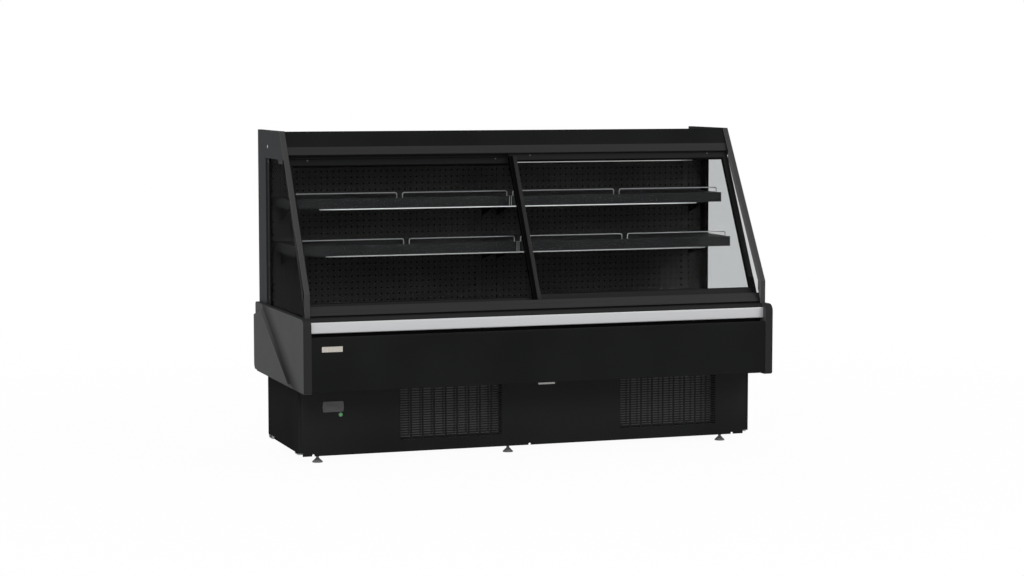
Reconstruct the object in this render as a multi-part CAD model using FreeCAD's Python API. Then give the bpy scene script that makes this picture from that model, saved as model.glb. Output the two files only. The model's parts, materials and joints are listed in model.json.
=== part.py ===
import FreeCAD, Part
import math
import os
from FreeCAD import Vector

# Plug-in refrigerated display case: a low insulated tank on a recessed base, two tiers
# of shelves behind two leaning glass doors that slide past each other, and a canopy.
# Millimetres. +X right, +Z up, -Y to the front. While it is drawn, x = 0 is mid length,
# y = 0 is the front plane of the end bumpers and z = 0 is the floor. On export the whole
# is moved back by half its depth, so its origin is the bottom centre of its box.

# ---------------------------------------------------------------- driving dimensions
clear_width = 1875.0        # between the inner faces of the two ends
case_depth = 795.0          # front of the bumpers to their back
case_height = 1274.0        # floor to the top of the end frames
sheet = 1.5                 # folded steel sheet
fit_gap = 0.2               # parts laid in a groove or a frame
shaft_gap = 0.08            # radial clearance of running fits

# base and feet
base_front = 181.0          # front panel, set back under the tank
base_back = 680.0
base_bottom = 29.0
base_overhang = 8.5         # side panels outside the inner faces of the ends
side_bottom = 42.0          # the side panels end higher than the front panel
fascia_bottom = 300.0       # underside of the tank's front
foot_radius = 20.5
foot_disc = 3.0
foot_neck_radius = 6.0
foot_cone_top = 17.0
foot_neck_top = 22.0
stud_radius = 5.0
stud_reach = 30.0           # stud above the underside of its rail
foot_from_left = 76.0
foot_from_right = 100.0
foot_off_middle = -82.0
rail_width = 50.0
rail_height = 40.0
rail_wall = 2.5
rail_lift = 6.0             # rails above the lower edge of the front panel
front_rail_y = 220.0        # centre lines of the two rails
back_rail_y = 650.0
post_width = 40.0
cross_width = 40.0
outer_cross_inset = 100.0
inner_cross_offset = 300.0
boss_radius = 10.0
boss_height = 12.0
unit_floor_left = 620.0     # sheet floor under the refrigeration unit
unit_floor_right = 560.0
unit_floor_thick = 2.0
unit_floor_inset = 5.0

# base panels
corner_flange = 8.5         # side panel's fold onto the front
panel_joint = 1.0
left_notch_width = 7.0
right_notch_width = 13.0
notch_height = 13.0
screw_notch_radius = 5.0
screw_notch_lift = 3.0      # its centre above the lower edge
screw_notches = (-887.5, -4.0, 874.5)
side_notch_radius = 4.0
side_notch_inset = 40.0     # from the front panel
side_step_length = 100.0    # rear stretch of a side panel that ends higher
side_step = 8.0

# vents in the front panel
vent_columns = 9
vent_rows = 21
slot_width = 40.0
slot_height = 5.7
column_pitch = 47.2
row_pitch = 9.68
left_vent_x = -329.5
right_vent_x = 591.2
vent_z = 175.7
screen_depth = 66.0         # slotted face of the screens behind the panel
strip_gap = 8.0
strip_offset = 10.0         # upright strips stand this far to the right of the slots
screen_margin = 10.0
screen_sheet = 1.0
rear_slot_columns = 5
rear_slot_rows = 9
rear_slot_width = 70.0
rear_slot_height = 7.0
rear_column_pitch = 88.0
rear_row_pitch = 18.0
rear_vents = (-468.75, 234.375)     # centres of the two louvred fields

# controls
window_left = 87.3          # controller window, from the left end of the panel
window_width = 85.0
window_height = 41.0
window_bottom = 198.2
window_bulge = 2.0
window_corner = 5.0
window_side_radius = 40.0
window_proud = 2.0
control_body_width = 105.0
control_body_height = 80.0
control_body_depth = 45.0
button_x_from_left = 159.3
button_z = 186.8
button_radius = 7.0
button_length = 20.0
button_proud = 3.0
button_rounding = 1.0
button_travel = 2.0
collar_wall = 1.9
collar_proud = 1.0
grip_plate_left = 970.0
grip_plate_width = 70.0
grip_plate_height = 12.0
grip_plate_top = 281.0
grip_plate_thick = 1.5
plate_corner = 1.0          # corner radius of the silver plate and the badge plate

# tank front
front_setback = 1.0         # fascia behind the front plane of the bumpers
fascia_top = 507.0
fascia_top_radius = 8.0
fascia_return = 20.0
badge_left = 40.0
badge_width = 80.6
badge_bottom = 452.0
badge_height = 20.6
handrail_front = 26.0
handrail_bottom = 519.7
handrail_shoulder = 562.0   # where its face turns back
handrail_top = 578.0
handrail_back = 58.0
handrail_wall = 2.5
handrail_toe_radius = 4.0
handrail_shoulder_radius = 12.0
handrail_crown_radius = 10.0
handrail_crown_drop = 2.0   # its crown falls by this much to the front

# end bumpers
bumper_thick = 32.0
bumper_bottom = 294.0
bumper_top = 577.0
bumper_nose_radius = 30.0
bumper_toe_radius = 10.0
bumper_heel_radius = 25.0
bumper_edge_radius = 4.0
swell = 9.0                 # lower rear zone stands out by this much
swell_apex_y = 660.0
swell_apex_z = 566.0
swell_back_z = 530.0
swell_front_y = 200.0
swell_front_z = 310.0
swell_inset = 5.0           # its outer face is smaller by this much all round
swell_nose = 15.0           # and by this much at its front and apex
swell_rim = 1.0             # flat left around it on the bumper

# ends above the bumpers
end_thick = 15.0
rear_post_front = 660.0
rear_post_back = 790.0
rear_post_corner = 4.0
gusset_bottom = 1163.0
web_front = 614.0           # recessed web in front of the rear post
web_thick = 11.0
post_lean = 32.0            # degrees from upright
post_foot_y = 40.0
post_bend_z = 667.0
post_face = 15.0            # front post outside the inner face of the end
post_overlap = 5.0          # and inside it
post_plate = 4.0
post_leg_depth = 25.0
post_leg = 3.0
glass_thick = 6.0
glass_inset = 5.0           # glass outside the inner face of the end
seal_width = 12.0
seal_depth = 10.0
seal_groove = 4.0

# insulated body
tank_floor = 40.0
tank_wall = 67.5            # front wall of the tank, below its rib
tank_end_wall = 35.0
rib_back = 98.0             # rib that carries the sill and the handrail
rib_root = 480.0
deck_z = 500.0
rear_wall_front = 715.0
roof_bottom = 1213.0
roof_thick = 40.0

# door plane: it leans back; its origin is the front top edge of the sill
door_lean = 28.5            # degrees from upright
sill_y = 69.0
sill_z = 618.0
sill_height = 37.6
track_depth = 66.0
lip = 10.5
groove = 21.0
groove_web = 6.0
groove_floor = 22.0         # below the sill's front edge
track_bottom = 642.0        # top track, along the lean from the sill's edge
track_height = 34.0
track_groove = 20.0
canopy_board = 68.3
canopy_return = 12.0

# doors
door_width = 955.0
door_thick = 16.0
door_side_gap = 3.0
door_foot = 18.0            # door below the sill's front edge
door_head = 12.0            # door above the lower edge of the top track
bottom_rail_top = 28.0
top_rail_height = 25.0      # what shows of it below the top track
stile_width = 22.0
pane_thick = 5.0
pane_groove = 8.0
pane_reach = 7.5
roller_radius = 8.0
roller_width = 6.0
roller_lift = 0.3
roller_inset = 90.0
roller_play = 0.6
axle_radius = 2.0
axle_length = 14.0

# shelves and fences
shelf_left_gap = 15.0
shelf_right_gap = 25.0
shelf_split = 925.0         # from the left end
shelf_joint = 4.0
shelf_sheet = 1.2
shelf_back = 640.0
upper_front = 388.0
upper_lip_bottom = 970.0
upper_lip_top = 1008.0
lower_front = 296.0
lower_lip_bottom = 792.0
lower_lip_top = 831.0
bracket_inset = 30.0
bracket_thick = 2.5
bracket_back_height = 95.0
bracket_front_height = 25.0
bracket_setback = 40.0
hook_height = 10.0
hook_reach = 5.0
hook_drop = 22.0
hook_spacing = 2            # slots between a bracket's two hooks
first_slot = 2              # lowest slot row, counted in slot pitches above the deck
upright_width = 40.0
slot_pitch = 25.0
upright_slot_width = 4.0
upright_slot_height = 12.0
upright_wall = 2.0
wire_radius = 2.0
wire_bend = 8.0
fence_height = 23.0
fence_setback = 6.0
fence_spans = ((35.0, 453.0), (472.5, 913.5), (935.0, 1374.5), (1395.0, 1832.0))
light_inset = 137.0
light_depth = 12.0
light_height = 5.0

# air ducts and deck
panel_front = 655.5
duct_top = 1165.0
duct_lip_y = 500.0
honeycomb_height = 20.0
cell = 21.0
cell_depth = 19.0
cell_pitch = 24.0
deck_front = 160.0
deck_height = 12.0
grille_height = 8.0
grille_slot = 14.0
grille_pitch = 30.0

# refrigeration
coil_half_length = 650.0
coil_front = 420.0
coil_depth = 180.0
coil_height = 124.0
tube_radius = 5.0
bend_radius = 12.0
bend_column_pitch = 48.0
bend_row_pitch = 36.0
fan_plate_y = 300.0
fan_plate_thick = 2.0
evaporator_fan_x = 400.0
evaporator_fan_z = 423.0
evaporator_fan_radius = 58.0
condenser_front = 262.0
condenser_depth = 60.0
condenser_width = 400.0
condenser_height = 200.0
shroud_depth = 30.0
condenser_fan_radius = 78.0
fan_tip_gap = 3.0
fan_hub_share = 0.28        # hub radius to blade radius
fan_width = 22.0
blade_root_share = 0.7      # blades start inside the hub at this share of its radius
blade_count = 5
blade_thick = 1.6
blade_tilt = 28.0
motor_length = 34.0
motor_gap = 4.0
fan_shaft_radius = 3.0
arm_width = 8.0
arm_thick = 3.0
arm_count = 3
compressor_x = 60.0
compressor_y = 450.0
compressor_radius = 78.0
compressor_body = 110.0
compressor_dome = 34.0
compressor_foot = 12.0
compressor_plate = 150.0
pan_left = 200.0
pan_right = 540.0
pan_front = 300.0
pan_back = 600.0
pan_height = 40.0
box_left = 620.0
box_right = 800.0
box_depth = 95.0
box_bottom = 120.0
box_height = 150.0
box_wall = 2.5
gland_radius = 10.0
gland_nut_radius = 14.0
gland_nut_length = 14.0
gland_bore_radius = 5.0

# ------------------------------------------------------------------- derived places
half = clear_width / 2
base_half = half + base_overhang
tank_bottom = fascia_bottom + sheet
tank_front = front_setback + sheet
floor_of_tank = tank_bottom + tank_floor
rail_bottom = base_bottom + rail_lift
rail_top = rail_bottom + rail_height
unit_floor_top = rail_top + unit_floor_thick
lean = math.radians(door_lean)
canopy_top = track_bottom + track_height + canopy_board
door_travel = clear_width - 2 * door_side_gap - door_width
tiers = ((upper_front, upper_lip_bottom, upper_lip_top),
         (lower_front, lower_lip_bottom, lower_lip_top))
shelf_spans = ((shelf_left_gap - half, shelf_split - half - shelf_joint / 2),
               (shelf_split - half + shelf_joint / 2, half - shelf_right_gap))
bracket_places = []
for span_left, span_right in shelf_spans:
    bracket_places += [span_left + bracket_inset, span_right - bracket_inset]
slots_from = deck_z + first_slot * slot_pitch

nodes = {}


# -------------------------------------------------------------------------- helpers
def box(x0, x1, y0, y1, z0, z1):
    return Part.makeBox(x1 - x0, y1 - y0, z1 - z0, Vector(x0, y0, z0))


def box_tube(x0, x1, y0, y1, z0, z1, wall, along):
    """Square tube, open at both ends of the axis named by along."""
    walls = {axis: 0 if axis == along else wall for axis in "xyz"}
    inside = box(x0 + walls["x"], x1 - walls["x"], y0 + walls["y"], y1 - walls["y"],
                 z0 + walls["z"], z1 - walls["z"])
    return box(x0, x1, y0, y1, z0, z1).cut(inside)


def pan(x0, x1, y0, y1, z0, z1, wall):
    """Open box with its mouth upwards."""
    inside = box(x0 + wall, x1 - wall, y0 + wall, y1 - wall, z0 + wall, z1)
    return box(x0, x1, y0, y1, z0, z1).cut(inside)


def lid(x0, x1, y0, y1, z0, z1, wall):
    """Open box with its mouth downwards."""
    inside = box(x0 + wall, x1 - wall, y0 + wall, y1 - wall, z0, z1 - wall)
    return box(x0, x1, y0, y1, z0, z1).cut(inside)


def outline(corners, place):
    """Closed wire through corners (a, b) or (a, b, radius), laid in space by place."""
    stretches = []
    for index, corner in enumerate(corners):
        here = Vector(corner[0], corner[1], 0)
        radius = corner[2] if len(corner) > 2 else 0
        if radius == 0:
            stretches.append((here, None, here))
            continue
        before = Vector(corners[index - 1][0], corners[index - 1][1], 0)
        following = corners[(index + 1) % len(corners)]
        back = (before - here).normalize()
        ahead = (Vector(following[0], following[1], 0) - here).normalize()
        half_angle = back.getAngle(ahead) / 2
        setback = radius / math.tan(half_angle)
        middle = here + (back + ahead).normalize() * (radius / math.sin(half_angle) - radius)
        stretches.append((here + back * setback, middle, here + ahead * setback))
    edges = []
    for index, (start, middle, end) in enumerate(stretches):
        last = stretches[index - 1][2]
        if (start - last).Length > 1e-6:
            edges.append(Part.LineSegment(place(last), place(start)).toShape())
        if middle:
            edges.append(Part.Arc(place(start), place(middle), place(end)).toShape())
    return Part.Wire(edges)


def prism_yz(corners, x0, x1):
    wire = outline(corners, lambda p: Vector(x0, p.x, p.y))
    return Part.Face(wire).extrude(Vector(x1 - x0, 0, 0))


def plate_xz(corners, holes, y0, y1):
    """Plate from y0 to y1 with holes, each hole a list of corners."""
    wires = [outline(shape, lambda p: Vector(p.x, y0, p.y)) for shape in [corners] + holes]
    return Part.makeFace(wires, "Part::FaceMakerBullseye").extrude(Vector(0, y1 - y0, 0))


def plate_xy(corners, holes, z0, z1):
    wires = [outline(shape, lambda p: Vector(p.x, p.y, z0)) for shape in [corners] + holes]
    return Part.makeFace(wires, "Part::FaceMakerBullseye").extrude(Vector(0, 0, z1 - z0))


def rectangle(a0, a1, b0, b1, radius=0):
    return [(a0, b0, radius), (a1, b0, radius), (a1, b1, radius), (a0, b1, radius)]


def rod(start, direction, radius, length):
    return Part.makeCylinder(radius, length, start, direction)


def on_lean(shape):
    """From the door plane's own frame (x, depth behind it, height along it) to the case."""
    placed = shape.copy()
    placed.rotate(Vector(0, 0, 0), Vector(1, 0, 0), -door_lean)
    placed.translate(Vector(0, sill_y, sill_z))
    return placed


def lean_y(z, behind):
    """y of the plane that lies this far behind the door plane, at height z."""
    return sill_y + (z - sill_z) * math.tan(lean) + behind / math.cos(lean)


def mirrored(shape):
    return shape.mirror(Vector(0, 0, 0), Vector(1, 0, 0))


def both_ends(name, left_shape):
    nodes[name + "_left"] = left_shape
    nodes[name + "_right"] = mirrored(left_shape)


# ----------------------------------------------------------------------------- base
def foot_places():
    across = {"left": foot_from_left - half, "centre": foot_off_middle, "right": half - foot_from_right}
    for row, y in (("front", front_rail_y), ("rear", back_rail_y)):
        for side, x in across.items():
            yield f"foot_{row}_{side}", x, y


def levelling_foot(x, y):
    """Disc, cone and threaded stud in one turned piece."""
    top = rail_bottom + stud_reach
    profile = [(0, 0), (foot_radius, 0), (foot_radius, foot_disc),
               (foot_neck_radius, foot_cone_top), (foot_neck_radius, foot_neck_top),
               (stud_radius, foot_neck_top), (stud_radius, top), (0, top)]
    wire = outline(profile, lambda p: Vector(p.x, 0, p.y))
    foot = Part.Face(wire).revolve(Vector(0, 0, 0), Vector(0, 0, 1), 360)
    foot.translate(Vector(x, y, 0))
    return foot


def frame_rail(y):
    """One long rail, with a threaded boss over each foot."""
    inner = base_half - sheet
    reach = rail_width / 2
    rail = box_tube(-inner, inner, y - reach, y + reach, rail_bottom, rail_top, rail_wall, "x")
    for name, foot_x, foot_y in foot_places():
        if foot_y == y:
            boss_foot = Vector(foot_x, y, rail_bottom)
            rail = rail.fuse(rod(boss_foot, Vector(0, 0, 1), boss_radius, rail_wall + boss_height))
            rail = rail.cut(rod(boss_foot, Vector(0, 0, 1), stud_radius + shaft_gap, rail_height))
    return rail.removeSplitter()


def base_frame():
    front_edge = front_rail_y + rail_width / 2
    back_edge = back_rail_y - rail_width / 2
    members = [frame_rail(front_rail_y), frame_rail(back_rail_y)]
    for x in (outer_cross_inset - half, -inner_cross_offset, inner_cross_offset, half - outer_cross_inset):
        members.append(box_tube(x - cross_width / 2, x + cross_width / 2, front_edge, back_edge,
                                rail_bottom, rail_top, rail_wall, "y"))
    inner = half - sheet
    posts = ((base_front + sheet, front_edge, front_rail_y), (back_edge, base_back - sheet, back_rail_y))
    for x0 in (-inner, -post_width / 2, inner - post_width):
        x1 = x0 + post_width
        for y0, y1, rail_y in posts:
            tube = box_tube(x0, x1, y0, y1, rail_top, tank_bottom, rail_wall, "z")
            seat = box(x0, x1, rail_y - rail_width / 2, rail_y + rail_width / 2,
                       rail_top, rail_top + rail_wall)
            members.append(tube.fuse(seat).removeSplitter())
    members.append(box(-unit_floor_left, unit_floor_right, front_edge + unit_floor_inset,
                       back_edge - unit_floor_inset, rail_top, unit_floor_top))
    return Part.makeCompound(members)


def vent_slots(centre_x):
    """Corner lists of every slot in one vent."""
    left = centre_x - ((vent_columns - 1) * column_pitch + slot_width) / 2
    bottom = vent_z - ((vent_rows - 1) * row_pitch + slot_height) / 2
    slots = []
    for column in range(vent_columns):
        x0 = left + column * column_pitch
        for row in range(vent_rows):
            z0 = bottom + row * row_pitch
            slots.append(rectangle(x0, x0 + slot_width, z0, z0 + slot_height))
    return slots


def window_outline(grow):
    left = window_left - half - grow
    right = left + window_width + 2 * grow
    bottom = window_bottom - grow
    top = window_bottom + window_height + grow
    middle = (bottom + top) / 2
    bulge = window_bulge
    return [(left + bulge, bottom, window_corner), (right - bulge, bottom, window_corner),
            (right, middle, window_side_radius), (right - bulge, top, window_corner),
            (left + bulge, top, window_corner), (left, middle, window_side_radius)]


def base_front_panel():
    left = corner_flange + panel_joint - base_half
    right = -left
    step = base_bottom + notch_height
    edge = [(left, step), (left + left_notch_width, step), (left + left_notch_width, base_bottom),
            (right - right_notch_width, base_bottom), (right - right_notch_width, step), (right, step),
            (right, tank_bottom), (left, tank_bottom)]
    holes = vent_slots(left_vent_x) + vent_slots(right_vent_x) + [window_outline(fit_gap)]
    panel = plate_xz(edge, holes, base_front, base_front + sheet)
    through = Vector(0, 1, 0)
    collar_radius = button_radius + shaft_gap + collar_wall
    panel = panel.cut(rod(Vector(button_x_from_left - half, base_front, button_z), through,
                          collar_radius + fit_gap, sheet))
    for x in screw_notches:
        notch = Vector(x, base_front, base_bottom + screw_notch_lift)
        panel = panel.cut(rod(notch, through, screw_notch_radius, sheet))
    return panel


def base_side_panels():
    """They end under the bumpers; the rear stretch of the lower edge is raised."""
    top = bumper_bottom - fit_gap
    step_y = base_back - side_step_length
    side = prism_yz([(base_front, side_bottom), (step_y, side_bottom), (step_y, side_bottom + side_step),
                     (base_back, side_bottom + side_step), (base_back, top), (base_front, top)],
                    -base_half, sheet - base_half)
    flange = box(-base_half, corner_flange - base_half, base_front, base_front + sheet, side_bottom, top)
    notch = Vector(-base_half, base_front + side_notch_inset, side_bottom)
    side = side.fuse(flange).cut(rod(notch, Vector(1, 0, 0), side_notch_radius, sheet)).removeSplitter()
    return Part.makeCompound([side, mirrored(side)])


def gland_place():
    return (box_left + box_right) / 2, box_bottom + box_height / 2


def base_rear_panel():
    """Wide between the side panels and narrower between the bumpers."""
    low_half = base_half - sheet
    high_half = half - sheet
    step = bumper_bottom - fit_gap
    holes = []
    bottom = vent_z - ((rear_slot_rows - 1) * rear_row_pitch + rear_slot_height) / 2
    span = (rear_slot_columns - 1) * rear_column_pitch + rear_slot_width
    for centre in rear_vents:
        for column in range(rear_slot_columns):
            x0 = centre - span / 2 + column * rear_column_pitch
            for row in range(rear_slot_rows):
                z0 = bottom + row * rear_row_pitch
                holes.append(rectangle(x0, x0 + rear_slot_width, z0, z0 + rear_slot_height))
    edge = [(-low_half, side_bottom), (low_half, side_bottom), (low_half, step), (high_half, step),
            (high_half, tank_bottom), (-high_half, tank_bottom), (-high_half, step), (-low_half, step)]
    panel = plate_xz(edge, holes, base_back - sheet, base_back)
    gland_x, gland_z = gland_place()
    return panel.cut(rod(Vector(gland_x, base_back - sheet, gland_z), Vector(0, 1, 0),
                         gland_radius + fit_gap, sheet))


def vent_screens():
    """Two air boxes on the back of the front panel, each closed by a plate with upright gaps."""
    reach = ((vent_columns - 1) * column_pitch + slot_width) / 2
    low = rail_top + fit_gap
    high = vent_z + ((vent_rows - 1) * row_pitch + slot_height) / 2 + screen_margin
    rim_front = base_front + sheet
    face_front = rim_front + screen_depth
    screens = []
    for x in (left_vent_x, right_vent_x):
        left = x - reach - screen_margin
        right = x + reach + screen_margin
        gaps = []
        for column in range(vent_columns):
            gap_right = x - reach + column * column_pitch + strip_offset
            gaps.append(rectangle(gap_right - strip_gap, gap_right, low + screen_margin, high - screen_margin))
        face = plate_xz(rectangle(left, right, low, high), gaps, face_front, face_front + screen_sheet)
        rim = box_tube(left, right, rim_front, face_front + screen_sheet, low, high, screen_sheet, "y")
        screens.append(rim.fuse(face).removeSplitter())
    return Part.makeCompound(screens)


def control_unit():
    """Controller body with its window and the collar that guides the button."""
    back = base_front + sheet
    left = (window_left + window_width / 2) - half - control_body_width / 2 + window_corner
    top = window_bottom + window_height + window_corner
    body = box(left, left + control_body_width, back, back + control_body_depth,
               top - control_body_height, top)
    window = plate_xz(window_outline(0), [], base_front - window_proud, back)
    through = Vector(0, 1, 0)
    collar_front = Vector(button_x_from_left - half, base_front - collar_proud, button_z)
    bore = button_radius + shaft_gap
    unit = body.fuse(window).fuse(rod(collar_front, through, bore + collar_wall, sheet + collar_proud))
    depth = collar_proud + button_length + 2 * button_travel
    return unit.cut(rod(collar_front, through, bore, depth)).removeSplitter()


def power_switch():
    start = Vector(button_x_from_left - half, base_front - button_proud, button_z)
    button = rod(start, Vector(0, 1, 0), button_radius, button_length)
    front_edge = [edge for edge in button.Edges if abs(edge.BoundBox.YMax - start.y) < 1e-6]
    return button.makeFillet(button_rounding, front_edge[:1])


def grip_plate():
    left = grip_plate_left - half
    edge = rectangle(left, left + grip_plate_width, grip_plate_top - grip_plate_height, grip_plate_top,
                     plate_corner)
    return plate_xz(edge, [], base_front - grip_plate_thick, base_front)


# ---------------------------------------------------------------------- tank front
def fascia_panel():
    front = front_setback
    inside = front + sheet
    section = [(base_front, fascia_bottom), (front, fascia_bottom, sheet * 2),
               (front, fascia_top, fascia_top_radius), (fascia_return, fascia_top),
               (fascia_return, fascia_top - sheet),
               (inside, fascia_top - sheet, fascia_top_radius - sheet),
               (inside, tank_bottom, sheet), (base_front, tank_bottom)]
    return prism_yz(section, -half, half)


def badge_plate():
    left = badge_left - half
    edge = rectangle(left, left + badge_width, badge_bottom, badge_bottom + badge_height, plate_corner)
    return plate_xz(edge, [], 0, front_setback)


def handrail():
    """Front strip: an upright face that turns back at its top, open to the tank."""
    front = handrail_front
    wall = handrail_wall
    crown_y = (handrail_front + handrail_back) / 2
    crown_z = handrail_top - handrail_crown_drop
    section = [(handrail_back, handrail_bottom), (front, handrail_bottom, handrail_toe_radius),
               (front, handrail_shoulder, handrail_shoulder_radius),
               (crown_y, crown_z, handrail_crown_radius),
               (handrail_back, handrail_top), (handrail_back, handrail_top - wall),
               (crown_y + wall / 2, crown_z - wall, handrail_crown_radius - wall),
               (front + wall, handrail_shoulder - wall / 2, handrail_shoulder_radius - wall),
               (front + wall, handrail_bottom + wall, handrail_toe_radius - wall),
               (handrail_back, handrail_bottom + wall)]
    return prism_yz(section, -half, half)


def bumper():
    """Left bumper: a moulded slab whose lower rear zone swells out past a slanting crease."""
    outer = -half - bumper_thick
    slab = prism_yz([(0, bumper_bottom, bumper_toe_radius), (0, bumper_top, bumper_nose_radius),
                     (case_depth, bumper_top, bumper_toe_radius),
                     (case_depth, bumper_bottom, bumper_heel_radius)], outer, -half)
    rim = [edge for edge in slab.Edges if edge.BoundBox.XMax < outer + 1e-6]
    slab = slab.makeFillet(bumper_edge_radius, rim)
    back = case_depth - bumper_edge_radius - swell_rim
    low = bumper_bottom + bumper_edge_radius + swell_rim

    def swell_wire(x, inset, nose):
        corners = [(swell_front_y + nose, low + inset), (back - inset, low + inset, bumper_heel_radius),
                   (back - inset, swell_back_z - inset), (swell_apex_y, swell_apex_z - nose),
                   (swell_front_y + nose, swell_front_z)]
        return outline(corners, lambda p: Vector(x, p.x, p.y))

    foot = swell_wire(outer + swell_rim, 0, 0)
    crest = swell_wire(outer - swell, swell_inset, swell_nose)
    raised = Part.makeLoft([foot, crest], True, True)
    return slab.fuse(raised).removeSplitter()


# ------------------------------------------------------------------------------ ends
def post_strip(depth0, depth1, top):
    """Side view of a band of the front post between two depths behind its face."""
    tilt = math.radians(post_lean)

    def edge(depth):
        drop = depth * (math.sin(tilt) - (1 - math.cos(tilt)) / math.tan(tilt))
        turn = (post_foot_y + depth, post_bend_z - drop)
        run = (top - turn[1]) * math.tan(tilt)
        return [(turn[0], bumper_top), turn, (turn[0] + run, top)]

    return edge(depth0) + edge(depth1)[::-1]


def post_edge_y(z, depth):
    """y of the front post's sloping face, moved back by depth, at height z."""
    tilt = math.radians(post_lean)
    return post_foot_y + (z - post_bend_z) * math.tan(tilt) + depth / math.cos(tilt)


def front_post():
    plate = prism_yz(post_strip(0, post_plate, case_height), -half - post_face, post_overlap - half)
    leg = prism_yz(post_strip(post_plate, post_leg_depth, gusset_bottom), -half - post_leg, -half)
    return plate.fuse(leg).removeSplitter()


def end_frame():
    """Rear post and top gusset in one, with a recessed web beside the glass."""
    shape = [(rear_post_front, bumper_top), (rear_post_back, bumper_top),
             (rear_post_back, case_height, rear_post_corner),
             (post_edge_y(case_height, post_plate), case_height),
             (post_edge_y(gusset_bottom, post_plate), gusset_bottom), (rear_post_front, gusset_bottom)]
    frame = prism_yz(shape, -half - end_thick, -half)
    web = box(-half - web_thick, -half, web_front, rear_post_front, bumper_top, gusset_bottom)
    return frame.fuse(web).removeSplitter()


def end_glass():
    back = web_front - seal_groove
    top = gusset_bottom - fit_gap
    foot, turn = post_strip(post_plate + fit_gap, post_leg_depth, top)[:2]
    front_top = (post_edge_y(top, post_plate + fit_gap), top)
    shape = [(foot[0], bumper_top + fit_gap), turn, front_top, (back, top), (back, bumper_top + fit_gap)]
    outside = -half - glass_inset - glass_thick
    return prism_yz(shape, outside, outside + glass_thick)


def end_glass_seals():
    middle = -half - glass_inset - glass_thick / 2
    seal = box(middle - seal_width / 2, middle + seal_width / 2, web_front - seal_depth, web_front,
               bumper_top, gusset_bottom)
    slot = glass_thick / 2 + fit_gap
    slot_back = web_front - seal_groove + fit_gap
    seal = seal.cut(box(middle - slot, middle + slot, web_front - seal_depth, slot_back,
                        bumper_top, gusset_bottom))
    return Part.makeCompound([seal, mirrored(seal)])


# ---------------------------------------------------------------- insulated body
def sill_underside(y):
    """Height of the sill's underside above a point of the rib."""
    low_y = sill_y - sill_height * math.sin(lean)
    low_z = sill_z - sill_height * math.cos(lean)
    return low_z - (y - low_y) * math.tan(lean)


def insulated_tank():
    body = prism_yz([(tank_front, tank_bottom, 2 * sheet), (tank_front, deck_z, fascia_top_radius),
                     (handrail_back, deck_z),
                     (handrail_back, sill_underside(handrail_back)), (rib_back, sill_underside(rib_back)),
                     (rib_back, deck_z), (rear_wall_front, deck_z), (rear_wall_front, tank_bottom)],
                    -half, half)
    inner = half - tank_end_wall
    wall_back = tank_front + tank_wall
    hollow = prism_yz([(wall_back, floor_of_tank), (wall_back, rib_root), (rib_back, rib_root),
                       (rib_back, deck_z), (rear_wall_front, deck_z), (rear_wall_front, floor_of_tank)],
                      -inner, inner)
    return body.cut(hollow)


def rear_wall():
    return box(-half, half, rear_wall_front, rear_post_back, tank_bottom, roof_bottom)


def roof_panel():
    top = roof_bottom + roof_thick
    return prism_yz([(lean_y(roof_bottom, canopy_return), roof_bottom), (rear_post_back, roof_bottom),
                     (rear_post_back, top), (lean_y(top, canopy_return), top)], -half, half)


def canopy_fascia():
    """Sloping front board: a folded sheet with a return at its top and bottom."""
    low = track_bottom + track_height
    board = box(-half, half, 0, canopy_return, low, canopy_top)
    return on_lean(board.cut(box(-half, half, sheet, canopy_return, low + sheet, canopy_top - sheet)))


# --------------------------------------------------------------------- door tracks
def groove_starts():
    """Depth at which the front and the back groove of both tracks start."""
    return lip, lip + groove + groove_web


def bottom_track():
    track = box(-half, half, 0, track_depth, -sill_height, 0)
    for start in groove_starts():
        track = track.cut(box(-half, half, start, start + groove, -groove_floor, 0))
    return on_lean(track)


def top_track():
    track = box(-half, half, 0, track_depth, track_bottom, track_bottom + track_height)
    for start in groove_starts():
        track = track.cut(box(-half, half, start, start + groove,
                              track_bottom, track_bottom + track_groove))
    return on_lean(track)


# ------------------------------------------------------------------------------ doors
def door_depth(start):
    """Depth of a door's front face in a groove that starts there."""
    return start + (groove - door_thick) / 2


def roller_places(left):
    return left + roller_inset, left + door_width - roller_inset


def roller_height():
    return roller_radius + roller_lift - groove_floor


def door_frame(left, start):
    """Two rails and two stiles, each grooved for the pane; the lower rail houses the rollers."""
    front = door_depth(start)
    back = front + door_thick
    middle = (front + back) / 2
    right = left + door_width
    slot = pane_thick / 2 + fit_gap
    head = track_bottom + door_head
    rail_low = track_bottom - top_rail_height
    pocket = roller_radius + roller_play
    cheek = roller_width / 2 + roller_play
    lower = box(left, right, front, back, -door_foot, bottom_rail_top)
    lower = lower.cut(box(left, right, middle - slot, middle + slot,
                          bottom_rail_top - pane_groove, bottom_rail_top))
    for x in roller_places(left):
        lower = lower.cut(box(x - pocket, x + pocket, middle - cheek, middle + cheek, -door_foot,
                              roller_height() + pocket))
        lower = lower.cut(rod(Vector(x, front, roller_height()), Vector(0, 1, 0),
                              axle_radius + shaft_gap, door_thick))
    upper = box(left, right, front, back, rail_low, head)
    upper = upper.cut(box(left, right, middle - slot, middle + slot, rail_low, rail_low + pane_groove))
    members = [lower, upper]
    for outer, inner in ((left, left + stile_width), (right, right - stile_width)):
        stile = box(min(outer, inner), max(outer, inner), front, back, bottom_rail_top, rail_low)
        deep = inner + math.copysign(pane_groove, outer - inner)
        members.append(stile.cut(box(min(inner, deep), max(inner, deep), middle - slot, middle + slot,
                                     bottom_rail_top, rail_low)))
    return Part.makeCompound([on_lean(member) for member in members])


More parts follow.
